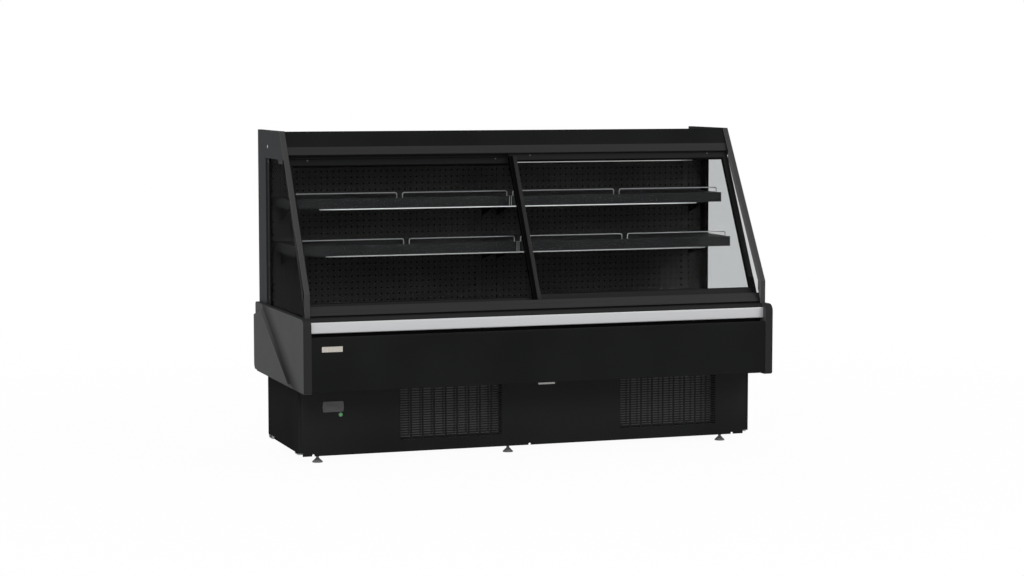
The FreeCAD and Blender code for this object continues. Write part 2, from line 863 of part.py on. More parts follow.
def door_glass(left, start):
    middle = door_depth(start) + door_thick / 2
    inset = stile_width - pane_reach
    pane = box(left + inset, left + door_width - inset, middle - pane_thick / 2, middle + pane_thick / 2,
               bottom_rail_top - pane_reach, track_bottom - top_rail_height + pane_reach)
    return on_lean(pane)


def door_roller(x, start):
    """Wheel and axle in one; it turns in the cheeks of the door's lower rail."""
    middle = door_depth(start) + door_thick / 2
    along = Vector(0, 1, 0)
    wheel = rod(Vector(x, middle - roller_width / 2, roller_height()), along, roller_radius, roller_width)
    axle = rod(Vector(x, middle - axle_length / 2, roller_height()), along, axle_radius, axle_length)
    return on_lean(wheel.fuse(axle))


def sliding_doors():
    front_groove, back_groove = groove_starts()
    places = (("left", door_side_gap - half, back_groove),
              ("right", half - door_side_gap - door_width, front_groove))
    for side, left, start in places:
        nodes[side + "_door_frame"] = door_frame(left, start)
        nodes[side + "_door_glass"] = door_glass(left, start)
        for end, x in zip(("left", "right"), roller_places(left)):
            nodes[f"{side}_door_roller_{end}"] = door_roller(x, start)


# --------------------------------------------------------------------- shelves
def shelf_pair(front, lip_bottom, lip_top):
    """Two sheet shelves side by side: flat tops with turned-down lips and sides."""
    pair = []
    for left, right in shelf_spans:
        shelf = box(left, right, front, shelf_back, lip_bottom, lip_top)
        inside = box(left + shelf_sheet, right - shelf_sheet, front + shelf_sheet, shelf_back,
                     lip_bottom, lip_top - shelf_sheet)
        pair.append(shelf.cut(inside))
    return Part.makeCompound(pair)


def hook_heights(lip_top):
    """Lower edges of a bracket's two hooks, both on the upright's slot pitch."""
    top_slot = slots_from + math.floor((lip_top - hook_drop - slots_from) / slot_pitch) * slot_pitch
    return top_slot, top_slot - hook_spacing * slot_pitch


def shelf_brackets():
    plates = []
    for front, lip_bottom, lip_top in tiers:
        seat = lip_top - shelf_sheet
        for x in bracket_places:
            left = x - bracket_thick / 2
            side = [(front + bracket_setback, seat - bracket_front_height), (front + bracket_setback, seat),
                    (panel_front, seat), (panel_front, seat - bracket_back_height)]
            plate = prism_yz(side, left, left + bracket_thick)
            for z in hook_heights(lip_top):
                plate = plate.fuse(box(left, left + bracket_thick, panel_front, panel_front + hook_reach,
                                       z, z + hook_height))
            plates.append(plate.removeSplitter())
    return Part.makeCompound(plates)


def upright_slots(y0, y1):
    """Every slot that the bracket hooks can enter."""
    rows = int((duct_top - slots_from) / slot_pitch)
    margin = (upright_slot_height - hook_height) / 2
    reach = upright_slot_width / 2
    slots = []
    for x in bracket_places:
        for row in range(rows):
            z0 = slots_from + row * slot_pitch - margin
            slots.append(box(x - reach, x + reach, y0, y1, z0, z0 + upright_slot_height))
    return slots


def back_panel():
    """Duct panel: it stands behind the shelves and turns forward under the roof."""
    back = panel_front + sheet
    section = [(panel_front, deck_z), (panel_front, duct_top - sheet), (duct_lip_y, duct_top - sheet),
               (duct_lip_y, duct_top), (back, duct_top), (back, deck_z)]
    panel = prism_yz(section, -half, half)
    return panel.cut(Part.makeCompound(upright_slots(panel_front, back)))


def shelf_uprights():
    """Slotted posts between the duct panel and the rear wall; the middle one takes two brackets."""
    front = panel_front + sheet
    margin = upright_width / 2
    groups = (bracket_places[:1], bracket_places[1:3], bracket_places[3:])
    posts = []
    for group in groups:
        post = box_tube(min(group) - margin, max(group) + margin, front, rear_wall_front,
                        deck_z, duct_top, upright_wall, "z")
        posts.append(post.cut(Part.makeCompound(upright_slots(front, front + upright_wall))))
    return Part.makeCompound(posts)


def fence(left, right, y, foot_z):
    """One wire fence: a rail with its ends bent down onto the shelf."""
    top = foot_z + fence_height - wire_radius
    x0 = left + wire_radius
    x1 = right - wire_radius
    bend = wire_bend
    inside = bend * (1 - math.cos(math.pi / 4))
    points = [Vector(x0, y, foot_z), Vector(x0, y, top - bend), Vector(x0 + inside, y, top - inside),
              Vector(x0 + bend, y, top), Vector(x1 - bend, y, top), Vector(x1 - inside, y, top - inside),
              Vector(x1, y, top - bend), Vector(x1, y, foot_z)]
    path = Part.Wire([Part.LineSegment(*points[0:2]).toShape(), Part.Arc(*points[1:4]).toShape(),
                      Part.LineSegment(*points[3:5]).toShape(), Part.Arc(*points[4:7]).toShape(),
                      Part.LineSegment(*points[6:8]).toShape()])
    ring = Part.Wire(Part.makeCircle(wire_radius, points[0], Vector(0, 0, 1)))
    return path.makePipeShell([ring], True, False)


def shelf_fences():
    wires = []
    for front, lip_bottom, lip_top in tiers:
        for left, right in fence_spans:
            wires.append(fence(left - half, right - half, front + fence_setback, lip_top))
    return Part.makeCompound(wires)


def light_strips():
    """Light strips under both shelf lips and under the canopy."""
    reach = half - light_inset
    under = duct_top - honeycomb_height
    hung = [(front, lip_bottom) for front, lip_bottom, lip_top in tiers]
    hung.append((lean_y(under, track_depth), under))
    strips = []
    for y0, z1 in hung:
        strips.append(box(-reach, reach, y0, y0 + light_depth, z1 - light_height, z1))
    return Part.makeCompound(strips)


# ------------------------------------------------------------------ air and deck
def air_outlet_honeycomb():
    low = duct_top - honeycomb_height
    grid = prism_yz([(lean_y(low, track_depth), low), (duct_lip_y, low), (duct_lip_y, duct_top),
                     (lean_y(duct_top, track_depth), duct_top)], -half, half)
    y0 = duct_lip_y - cell_pitch + (cell_pitch - cell) / 2
    columns = int(clear_width / cell_pitch) - 1
    cells = []
    for column in range(columns):
        x0 = (column - columns / 2) * cell_pitch
        cells.append(box(x0, x0 + cell, y0, y0 + cell_depth, low, duct_top))
    return grid.cut(Part.makeCompound(cells))


def deck_trays():
    tray = lid(-half, -panel_joint, deck_front, panel_front, deck_z, deck_z + deck_height, shelf_sheet)
    return Part.makeCompound([tray, mirrored(tray)])


def return_air_grille():
    back = deck_front - panel_joint / 2
    edge = rectangle(-half, half, rib_back, back)
    count = int(clear_width / grille_pitch) - 1
    first = -((count - 1) * grille_pitch + grille_slot) / 2
    slots = []
    for index in range(count):
        x0 = first + index * grille_pitch
        slots.append(rectangle(x0, x0 + grille_slot, rib_back + grille_slot, back - grille_slot))
    return plate_xy(edge, slots, deck_z, deck_z + grille_height)


# ---------------------------------------------------------------- refrigeration
def finned_coil(x0, x1, y0, y1, z0, z1):
    """Fin pack as one block, with the tubes' return bends at both ends."""
    coil = box(x0, x1, y0, y1, z0, z1)
    columns = int((y1 - y0) / bend_column_pitch)
    rows = int((z1 - z0 - bend_radius) / bend_row_pitch)
    for column in range(columns):
        y = y0 + (column + 1 / 2) * bend_column_pitch
        for row in range(rows):
            z = z0 + 2 * bend_radius + row * bend_row_pitch
            for x, turn in ((x0, -1), (x1, 1)):
                bend = Part.makeTorus(bend_radius, tube_radius, Vector(0, 0, 0), Vector(0, 0, 1),
                                      0, 360, 180)
                bend.rotate(Vector(0, 0, 0), Vector(0, 0, 1), -90 * turn)
                bend.translate(Vector(x, y, z))
                coil = coil.fuse(bend)
    return coil


def evaporator_coil():
    return finned_coil(-coil_half_length, coil_half_length, coil_front, coil_front + coil_depth,
                       floor_of_tank, floor_of_tank + coil_height)


def fan_rotor(x, y, z, radius):
    """Hub with tilted blades, bored for the motor shaft; the axis is along y."""
    along = Vector(0, 1, 0)
    hub_radius = radius * fan_hub_share
    rotor = rod(Vector(0, 0, 0), along, hub_radius, fan_width)
    disc = rod(Vector(0, 0, 0), along, radius, fan_width)
    for index in range(blade_count):
        blade = box(hub_radius * blade_root_share, radius + hub_radius, fan_width / 2 - blade_thick / 2,
                    fan_width / 2 + blade_thick / 2, -hub_radius, hub_radius)
        blade.rotate(Vector(0, fan_width / 2, 0), Vector(1, 0, 0), blade_tilt)
        blade = blade.common(disc)
        blade.rotate(Vector(0, 0, 0), along, index * 360 / blade_count)
        rotor = rotor.fuse(blade)
    rotor = rotor.cut(rod(Vector(0, fan_width / 4, 0), along, fan_shaft_radius + shaft_gap, fan_width))
    rotor.translate(Vector(x, y, z))
    return rotor.removeSplitter()


def fan_motor(x, y, z, radius, plate_back):
    """Motor behind a rotor, held by arms that stand on the plate around the fan."""
    along = Vector(0, 1, 0)
    front = y + fan_width + motor_gap
    motor_radius = radius * fan_hub_share + arm_width
    motor = rod(Vector(x, front, z), along, motor_radius, motor_length)
    shaft_start = y + fan_width / 2
    motor = motor.fuse(rod(Vector(x, shaft_start, z), along, fan_shaft_radius, front - shaft_start))
    reach = radius + fan_tip_gap + arm_width
    for index in range(arm_count):
        arm = box(0, reach, front + arm_thick, front + 2 * arm_thick, -arm_width / 2, arm_width / 2)
        leg = box(reach - arm_thick, reach, plate_back, front + 2 * arm_thick,
                  -arm_width / 2, arm_width / 2)
        arm = arm.fuse(leg)
        arm.rotate(Vector(0, 0, 0), along, 90 + index * 360 / arm_count)
        arm.translate(Vector(x, 0, z))
        motor = motor.fuse(arm)
    return motor


def evaporator_fan_plate():
    inner = half - tank_end_wall
    back = fan_plate_y + fan_plate_thick
    plate = box(-inner, inner, fan_plate_y, back, floor_of_tank, deck_z)
    for x in (-evaporator_fan_x, evaporator_fan_x):
        centre = Vector(x, fan_plate_y, evaporator_fan_z)
        hole = rod(centre, Vector(0, 1, 0), evaporator_fan_radius + fan_tip_gap, fan_plate_thick)
        motor = fan_motor(x, fan_start(fan_plate_y), evaporator_fan_z, evaporator_fan_radius, back)
        plate = plate.cut(hole).fuse(motor)
    return plate.removeSplitter()


def fan_start(plate_front):
    """Front face of a rotor that runs in a hole of a plate."""
    return plate_front - fan_width / 3


def condenser_coil():
    return finned_coil(left_vent_x - condenser_width / 2, left_vent_x + condenser_width / 2,
                       condenser_front, condenser_front + condenser_depth,
                       unit_floor_top, unit_floor_top + condenser_height)


def shroud_plate_y():
    return condenser_front + condenser_depth + shroud_depth - fan_plate_thick


def condenser_fan_z():
    return unit_floor_top + condenser_height / 2


def fan_shroud():
    x0 = left_vent_x - condenser_width / 2
    x1 = left_vent_x + condenser_width / 2
    low = unit_floor_top
    high = low + condenser_height
    front = condenser_front + condenser_depth
    back = front + shroud_depth
    shroud = box_tube(x0, x1, front, back, low, high, fan_plate_thick, "y")
    plate = box(x0, x1, shroud_plate_y(), back, low, high)
    centre = Vector(left_vent_x, shroud_plate_y(), condenser_fan_z())
    hole = rod(centre, Vector(0, 1, 0), condenser_fan_radius + fan_tip_gap, fan_plate_thick)
    motor = fan_motor(left_vent_x, fan_start(shroud_plate_y()), condenser_fan_z(),
                      condenser_fan_radius, back)
    return shroud.fuse(plate.cut(hole)).fuse(motor).removeSplitter()


def compressor():
    """Hermetic shell on a foot plate: a can with domed ends."""
    reach = compressor_plate / 2
    plate = box(compressor_x - reach, compressor_x + reach, compressor_y - reach, compressor_y + reach,
                unit_floor_top, unit_floor_top + compressor_foot)
    base = unit_floor_top + compressor_foot
    can = rod(Vector(compressor_x, compressor_y, base), Vector(0, 0, 1),
              compressor_radius, compressor_body)
    dome_radius = (compressor_radius ** 2 + compressor_dome ** 2) / (2 * compressor_dome)
    centre = Vector(compressor_x, compressor_y, base + compressor_body + compressor_dome - dome_radius)
    column = rod(Vector(compressor_x, compressor_y, base), Vector(0, 0, 1), compressor_radius,
                 compressor_body + compressor_dome)
    dome = Part.makeSphere(dome_radius, centre).common(column)
    return plate.fuse(can).fuse(dome).removeSplitter()


def drain_pan():
    return pan(pan_left, pan_right, pan_front, pan_back,
               unit_floor_top, unit_floor_top + pan_height, shelf_sheet)


def electrical_box():
    """Terminal box on the rear panel, with the cable gland that passes through both."""
    back = base_back - sheet
    shell = box(box_left, box_right, back - box_depth, back, box_bottom, box_bottom + box_height)
    shell = shell.cut(box(box_left + box_wall, box_right - box_wall,
                          back - box_depth + box_wall, back - box_wall,
                          box_bottom + box_wall, box_bottom + box_height - box_wall))
    x, z = gland_place()
    outward = Vector(0, 1, 0)
    shell = shell.cut(rod(Vector(x, back - box_wall, z), outward, gland_radius + fit_gap, box_wall))
    thread = rod(Vector(x, back - 2 * box_wall, z), outward, gland_radius, 2 * box_wall + sheet)
    nut = rod(Vector(x, base_back, z), outward, gland_nut_radius, gland_nut_length)
    bore = rod(Vector(x, back - 2 * box_wall, z), outward, gland_bore_radius,
               2 * box_wall + sheet + gland_nut_length)
    return Part.makeCompound([shell, thread.fuse(nut).cut(bore).removeSplitter()])


# ---------------------------------------------------------------------- assembly
def assemble():
    nodes["base_frame"] = base_frame()
    for name, x, y in foot_places():
        nodes[name] = levelling_foot(x, y)
    nodes["base_front_panel"] = base_front_panel()
    nodes["base_side_panels"] = base_side_panels()
    nodes["base_rear_panel"] = base_rear_panel()
    nodes["vent_screens"] = vent_screens()
    nodes["control_unit"] = control_unit()
    nodes["power_switch"] = power_switch()
    nodes["panel_grip_plate"] = grip_plate()
    nodes["fascia_panel"] = fascia_panel()
    nodes["badge_plate"] = badge_plate()
    nodes["handrail"] = handrail()
    both_ends("bumper", bumper())
    both_ends("end_frame", end_frame())
    both_ends("front_post", front_post())
    both_ends("end_glass", end_glass())
    nodes["end_glass_seals"] = end_glass_seals()
    nodes["canopy_fascia"] = canopy_fascia()
    nodes["roof_panel"] = roof_panel()
    nodes["top_track"] = top_track()
    nodes["bottom_track"] = bottom_track()
    nodes["air_outlet_honeycomb"] = air_outlet_honeycomb()
    nodes["insulated_tank"] = insulated_tank()
    nodes["rear_wall"] = rear_wall()
    nodes["back_panel"] = back_panel()
    nodes["shelf_uprights"] = shelf_uprights()
    nodes["upper_shelves"] = shelf_pair(*tiers[0])
    nodes["lower_shelves"] = shelf_pair(*tiers[1])
    nodes["shelf_brackets"] = shelf_brackets()
    nodes["shelf_fences"] = shelf_fences()
    nodes["light_strips"] = light_strips()
    nodes["deck_trays"] = deck_trays()
    nodes["return_air_grille"] = return_air_grille()
    sliding_doors()
    nodes["evaporator_coil"] = evaporator_coil()
    nodes["evaporator_fan_plate"] = evaporator_fan_plate()
    for side, x in (("left", -evaporator_fan_x), ("right", evaporator_fan_x)):
        nodes["evaporator_fan_" + side] = fan_rotor(x, fan_start(fan_plate_y), evaporator_fan_z,
                                                    evaporator_fan_radius)
    nodes["condenser_coil"] = condenser_coil()
    nodes["fan_shroud"] = fan_shroud()
    nodes["condenser_fan"] = fan_rotor(left_vent_x, fan_start(shroud_plate_y()), condenser_fan_z(),
                                       condenser_fan_radius)
    nodes["compressor"] = compressor()
    nodes["drain_pan"] = drain_pan()
    nodes["electrical_box"] = electrical_box()


assemble()
os.makedirs("parts", exist_ok=True)
for name, shape in nodes.items():
    shape.translate(Vector(0, -case_depth / 2, 0))
    shape.exportStep(os.path.join("parts", name + ".step"))
print(len(nodes), "nodes")
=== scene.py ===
# %% [markdown]
# # Dressing a plug-in display fridge
# The fridge stands in shops: an insulated tank on a recessed base, two tiers of shelves and
# two glass doors that slide past each other. Its solids come from CAD as a fixed frame.
# This lesson gives them their finishes and adds the small parts that make them look real:
# screws, gaskets, light lenses, a perforated duct panel and the pipes of the cooling unit.
# Every length is in metres in the frame of the CAD: x along the case, y to the back, z up.

# %% Load the frame
import json
import math

import bpy
import bmesh
from mathutils import Matrix, Vector


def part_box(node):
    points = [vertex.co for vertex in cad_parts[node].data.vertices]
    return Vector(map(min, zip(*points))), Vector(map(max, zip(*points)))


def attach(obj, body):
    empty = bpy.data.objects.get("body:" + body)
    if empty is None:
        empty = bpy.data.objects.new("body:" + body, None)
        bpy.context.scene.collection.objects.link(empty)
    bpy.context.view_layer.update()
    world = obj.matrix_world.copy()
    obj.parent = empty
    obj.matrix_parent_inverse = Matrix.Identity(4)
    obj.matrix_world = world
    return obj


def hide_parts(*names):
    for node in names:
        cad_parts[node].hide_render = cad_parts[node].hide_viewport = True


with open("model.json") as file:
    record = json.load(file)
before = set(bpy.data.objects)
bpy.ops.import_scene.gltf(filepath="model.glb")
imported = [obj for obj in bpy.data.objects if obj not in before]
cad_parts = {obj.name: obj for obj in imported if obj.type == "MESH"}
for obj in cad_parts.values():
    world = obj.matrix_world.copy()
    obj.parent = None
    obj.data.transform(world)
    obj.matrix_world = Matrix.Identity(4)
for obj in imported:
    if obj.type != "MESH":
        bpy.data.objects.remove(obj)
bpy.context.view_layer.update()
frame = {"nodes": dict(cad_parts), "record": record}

nodes = frame["nodes"]

# %% [markdown]
# ## Places that many pieces share
# The doors, both tracks and the canopy board lie in planes that lean back from the sill.
# One function turns a place in that leaning frame (along the case, depth behind the sill's
# front edge, height along the lean) into the room. Every door piece is placed through it,
# so no piece needs its own trigonometry.

# %% The leaning frame
HALF = 0.9375               # half of the module between the two ends
LEAN = math.radians(28.5)
SILL = Vector((0, -0.3285, 0.618))
LEAN_SPOT = Matrix.Translation(SILL) @ Matrix.Rotation(-LEAN, 4, "X")


def on_lean(x, depth, height):
    return Vector((x, SILL.y + height * math.sin(LEAN) + depth * math.cos(LEAN),
                   SILL.z + height * math.cos(LEAN) - depth * math.sin(LEAN)))


lean_out = (on_lean(0, -1, 0) - on_lean(0, 0, 0)).normalized()
print("a door leans back by", round(math.degrees(LEAN), 1), "degrees")

# %% [markdown]
# ## Camera
# The view is the one of a product sheet: a long lens far away, a little above the case and
# to its left. The lens and the place were solved from the vanishing points of the long
# edges and from the module's length. The place was then moved 6 mm to the right, where the
# render's outline lay best on the photo's.

# %% Camera
SENSOR = 36.0
FOCAL = 82.6
YAW = math.radians(19.2)
PITCH = math.radians(5.107)
EYE = Vector((-3.109, -8.92, 1.480))

camera = bpy.data.objects.new("camera", bpy.data.cameras.new("camera"))
camera.data.sensor_width = SENSOR
camera.data.lens = FOCAL
camera.location = EYE
level = math.cos(PITCH)
forward = Vector((math.sin(YAW) * level, math.cos(YAW) * level, -math.sin(PITCH)))
camera.rotation_euler = forward.to_track_quat("-Z", "Y").to_euler()
bpy.context.scene.collection.objects.link(camera)
bpy.context.scene.camera = camera
bpy.context.scene.view_settings.view_transform = "Standard"
print("camera", round(EYE.length, 2), "m away, lens", FOCAL, "mm")

# %% [markdown]
# ## Shader sums as Python
# A node tree is easier to read as arithmetic. `Wire` wraps one output socket: every
# operator that meets it adds the Math node that does the sum. `Finish` holds a node tree
# and has one method that adds any node from its type, its settings and its socket values.

# %% Wires
class Wire:
    def __init__(self, finish, socket):
        self.finish = finish
        self.socket = socket

    def __add__(self, other):
        return self.finish.math("ADD", self, other)

    def __sub__(self, other):
        return self.finish.math("SUBTRACT", self, other)

    def __rsub__(self, other):
        return self.finish.math("SUBTRACT", other, self)

    def __mul__(self, other):
        return self.finish.math("MULTIPLY", self, other)

    __radd__ = __add__
    __rmul__ = __mul__

    def step(self, low, high):
        """0 before low, 1 past high and smooth between."""
        return self.finish.add("MapRange", {"interpolation_type": "SMOOTHSTEP"},
                               {"Value": self, "From Min": low, "From Max": high})


print("a Wire adds, subtracts, multiplies and steps")


# %% Finishes
class Finish:
    def __init__(self, owner, output="OutputMaterial"):
        owner.use_nodes = True
        self.owner = owner
        self.tree = owner.node_tree
        self.tree.nodes.clear()
        self.output = output

    def add(self, kind, settings=None, sockets=None, out=0):
        node = self.tree.nodes.new("ShaderNode" + kind)
        for key, value in (settings or {}).items():
            setattr(node, key, value)
        for key, value in (sockets or {}).items():
            self.plug(node.inputs[key], value)
        return Wire(self, node.outputs[out]) if node.outputs else node

    def plug(self, socket, value):
        if isinstance(value, Wire):
            self.tree.links.new(value.socket, socket)
        elif socket.type == "RGBA":
            socket.default_value = (*value[:3], 1)
        else:
            socket.default_value = value

    def math(self, operation, *values):
        return self.add("Math", {"operation": operation}, dict(enumerate(values)))

    def place(self, stretch=(1, 1, 1)):
        """Metres in the case's own frame, stretched per axis."""
        return self.add("VectorMath", {"operation": "MULTIPLY"},
                        {0: self.add("TexCoord", out="Object"), 1: stretch})

    def along(self, axis):
        """Place along one axis."""
        return self.add("SeparateXYZ", sockets={0: self.place()}, out=axis)

    def facing(self, axis):
        """How far the surface looks along one axis, from -1 to 1."""
        return self.add("SeparateXYZ", sockets={0: self.add("NewGeometry", out="Normal")}, out=axis)

    def between(self, axis, low, high, soft=0.0005):
        """1 where the place along axis lies from low to high, 0 elsewhere."""
        along = self.along(axis)
        return along.step(low - soft, low) * (1 - along.step(high, high + soft))

    def noise(self, scale, detail=2.0, stretch=(1, 1, 1)):
        return self.add("TexNoise", sockets={"Vector": self.place(stretch), "Scale": scale,
                                             "Detail": detail})

    def blend(self, share, first, second):
        """Colour that goes from first to second."""
        return self.add("Mix", {"data_type": "RGBA"}, {0: share, 6: first, 7: second}, out=2)

    def bump(self, height, depth, strength=1.0):
        return self.add("Bump", sockets={"Height": height, "Distance": depth, "Strength": strength})

    def principled(self, **sockets):
        return self.add("BsdfPrincipled", sockets={key.replace("_", " "): value
                                                   for key, value in sockets.items()})

    def close(self, shader):
        self.add(self.output, sockets={"Surface": shader})
        return self.owner


def new_finish(name):
    return Finish(bpy.data.materials.new(name))


print("a Finish adds any node by one method")

# %% [markdown]
# ## Floor and sky
# The case stands in a white studio. Turning lamps up until the floor clips would bleach the
# case too, so the whiteness is painted instead: rays from the camera, and those that come
# by a mirror or through glass, find a floor and a sky that are white by themselves. Light
# that falls on the case comes from a dimmer sky. A little of the floor stays a plain
# surface, so it still takes the shadow.

# %% Floor and sky
SKY_LIGHT = 0.62
FLOOR_SHARE = 0.96          # part of the floor that is white by itself near the case
SHADOW_REACH = (1.6, 5.0)   # the share grows to 1 between these distances
PAPER = (0.86, 0.86, 0.86)
PURE_WHITE = (1, 1, 1)
FLOOR_RADIUS = 60.0
FLOOR_SIDES = 64


def seen_directly(finish):
    rays = [finish.add("LightPath", out=kind) for kind in
            ("Is Camera Ray", "Is Glossy Ray", "Is Transmission Ray")]
    return finish.math("MAXIMUM", finish.math("MAXIMUM", rays[0], rays[1]), rays[2])


world = bpy.data.worlds.new("studio")
bpy.context.scene.world = world
sky = Finish(world, "OutputWorld")
strength = sky.add("MapRange", sockets={"Value": seen_directly(sky),
                                        "To Min": SKY_LIGHT, "To Max": 1.0})
sky.close(sky.add("Background", sockets={"Color": PURE_WHITE, "Strength": strength}))

ground = new_finish("studio_floor")
distance = ground.add("VectorMath", {"operation": "LENGTH"}, {0: ground.place()}, out="Value")
white = seen_directly(ground) * (FLOOR_SHARE + (1 - FLOOR_SHARE) * distance.step(*SHADOW_REACH))
plain = ground.add("BsdfDiffuse", sockets={"Color": PAPER})
glow = ground.add("Emission", sockets={"Color": PURE_WHITE, "Strength": 1.0})
floor_mesh = bpy.data.meshes.new("studio_floor")
turns = [math.tau * i / FLOOR_SIDES for i in range(FLOOR_SIDES)]
rim = [(FLOOR_RADIUS * math.cos(turn), FLOOR_RADIUS * math.sin(turn), 0) for turn in turns]
floor_mesh.from_pydata(rim, [], [list(range(FLOOR_SIDES))])
surface = ground.add("MixShader", sockets={0: white, 1: plain, 2: glow})
floor_mesh.materials.append(ground.close(surface))
floor = bpy.data.objects.new("studio_floor", floor_mesh)
bpy.context.scene.collection.objects.link(floor)
print("floor of", FLOOR_RADIUS, "m, sky light", SKY_LIGHT)

# %% [markdown]
# ## Lamps
# Three large soft lamps model the case: one in front and to the left, one in front and
# high on the right, and one behind, which keeps the back from going flat. A white surface
# that faces a lamp of P watts at d metres sends back P / (pi d)^2, so each lamp's power
# follows from the share of white that it should add. The shares were chosen by comparing
# renders with the photo.

# %% Lamps
def soft_lamp(name, place, target, size, share):
    lamp = bpy.data.objects.new(name, bpy.data.lights.new(name, "AREA"))
    reach = Vector(target) - Vector(place)
    lamp.data.shape = "DISK"
    lamp.data.size = size
    lamp.data.energy = share * (math.pi * reach.length) ** 2
    lamp.location = place
    lamp.rotation_euler = reach.to_track_quat("-Z", "Y").to_euler()
    bpy.context.scene.collection.objects.link(lamp)
    print(name, "adds", share, "of white with", round(lamp.data.energy), "W")


MIDDLE = (0, 0, 0.6)
soft_lamp("front_lamp", (-2.6, -5.2, 3.6), MIDDLE, 2.4, 0.30)
soft_lamp("side_lamp", (3.8, -4.2, 4.4), MIDDLE, 2.6, 0.16)
soft_lamp("back_lamp", (1.5, 5.5, 4.0), (0, 0, 0.8), 2.6, 0.25)

# %% [markdown]
# ## Coated steel
# Most of the case is folded sheet under a baked powder coat. The powder melts into a skin
# with a shallow orange peel of about a millimetre, and it never lies quite evenly: its
# gloss wanders slowly over a panel. Upward faces gather a breath of dust. Three noises say
# this: a fine one for the peel, a slow one for the gloss and one between them that breaks up
# the dust, which only settles where the normal points up. The blacks hardly mirror: seen at
# a low angle, a stronger mirror would turn them grey against the white studio. Here and in
# the cells below, the colours were set by comparing levels in the render and the photo.

# %% Powder coats
PEEL_SCALE = 900.0
PEEL_DEPTH = 0.00001
PEEL_STRENGTH = 0.35
GLOSS_SCALE = 2.3
SPECK_SCALE = 240.0
DUST = (0.10, 0.097, 0.09)
PAINTED_LIGHT_BAND = (0.05, 0.30)    # painted light: the base front fades to a lighter upper tone between these heights, lifting the shade that the tank casts on it
WEB_SHADE = ((0.2165, 0.2620), (0.570, 1.1625), (0.0095, 0.0100, 0.0105))     # painted shade on the web beside the end glass: y, z, colour


def scaled(colour, factor):
    return tuple(min(1.0, factor * part) for part in colour)


def powder_coat(name, colour, rough, shine, dust=0.25, shade=None, painted_light_top=None):
    coat = new_finish(name)
    slow = coat.noise(GLOSS_SCALE, 3.0)
    peel = coat.noise(PEEL_SCALE, 1.0)
    speck = coat.noise(SPECK_SCALE, 2.0)
    settled = coat.facing("Z").step(0.6, 1.0) * speck.step(0.42, 0.8) * dust
    tone = coat.blend(slow.step(0.25, 0.75), scaled(colour, 0.86), scaled(colour, 1.18))
    # Painted light: a lighter tone towards the top lifts the shade that the overhanging tank casts
    # on the base front.
    if painted_light_top:
        tone = coat.blend(coat.along("Z").step(*PAINTED_LIGHT_BAND), tone, painted_light_top)
    # Painted shade: a darker colour inside a box of y and z.
    if shade:
        axis_y, axis_z, dark = shade
        tone = coat.blend(coat.between("Y", *axis_y) * coat.between("Z", *axis_z), tone, dark)
    return coat.close(coat.principled(
        Base_Color=coat.blend(settled, tone, DUST),
        Roughness=rough - 0.05 + 0.10 * slow + 0.2 * settled,
        Specular_IOR_Level=shine,
        Normal=coat.bump(peel, PEEL_DEPTH, PEEL_STRENGTH)))


black_coat = powder_coat("black_powder_coat", (0.0102, 0.0105, 0.0106), 0.50, 0.010)
# The base front's lighter upper tone is painted light.
base_coat = powder_coat("base_powder_coat", (0.0145, 0.0147, 0.0149), 0.50, 0.010,
                        painted_light_top=(0.0235, 0.0238, 0.0240))
side_coat = powder_coat("base_side_coat", (0.0165, 0.0167, 0.0170), 0.55, 0.0)
inside_black = powder_coat("inside_black_coat", (0.0150, 0.0150, 0.0150), 0.55, 0.03)
shelf_black = powder_coat("shelf_black_coat", (0.0210, 0.0212, 0.0215), 0.55, 0.03, dust=0.1)
duct_black = powder_coat("duct_black_coat", (0.0450, 0.0440, 0.0430), 0.60, 0.03)
slate_coat = powder_coat("slate_powder_coat", (0.0270, 0.0290, 0.0310), 0.50, 0.015,
                         shade=WEB_SHADE)
skin_coat = powder_coat("foam_body_skin", (0.0100, 0.0102, 0.0104), 0.46, 0.03)
print("powder coats with a peel every", round(1000 / PEEL_SCALE, 1), "mm")

# %% [markdown]
# ## Drawn profiles
# Tracks, posts, door profiles and the handrail are drawn aluminium. The die leaves lines
# along the length that are far longer than they are wide, so the noise is stretched: almost
# constant along the profile and fine across it. The same noise turns the gloss a little. A
# patch gives part of a profile another tone: painted shade darkens the handrail above its
# shoulder, and the posts are bare on the sides that look at the doors.

# %% Anodised profiles
LONG_RUN = (1.5, 700, 700)
UPRIGHT_RUN = (700, 700, 1.5)
PLATE_RUN = (900, 900, 2.0)
LINE_DEPTH = 0.00003
CROWN_FROM = 0.5615         # height of the handrail's shoulder
CROWN_SOFT = 0.0008
# painted shade of the handrail above its shoulder
CROWN_SHADE = (0.017, 0.017, 0.0175)
BARE_POST = (0.15, 0.15, 0.15)


def anodised(name, colour, rough, metal, run=LONG_RUN, shine=0.3, patch=None, contrast=0.10):
    profile = new_finish(name)
    lines = profile.noise(1.0, 3.0, run)
    cloud = profile.noise(3.0, 2.0)
    tone = profile.blend(lines.step(0.3, 0.7), scaled(colour, 1 - contrast),
                         scaled(colour, 1 + contrast))
    if patch:
        mask, other = patch(profile)
        tone = profile.blend(mask, tone, other)
        metal = metal * (1 - mask)
    return profile.close(profile.principled(
        Base_Color=tone,
        Metallic=metal,
        Roughness=rough - 0.06 + 0.08 * lines + 0.04 * cloud,
        Specular_IOR_Level=shine,
        Normal=profile.bump(lines, LINE_DEPTH, 0.3)))


def painted_crown_shade(profile):
    """Painted shade darkens the handrail above its shoulder."""
    return profile.along("Z").step(CROWN_FROM, CROWN_FROM + CROWN_SOFT), CROWN_SHADE


def bare_inner_side(profile):
    """The posts' sides towards the doors are bare and paler."""
    side = profile.along("X").step(-0.01, 0.01) * 2 - 1
    return (0 - profile.facing("X") * side).step(0.6, 0.8), BARE_POST


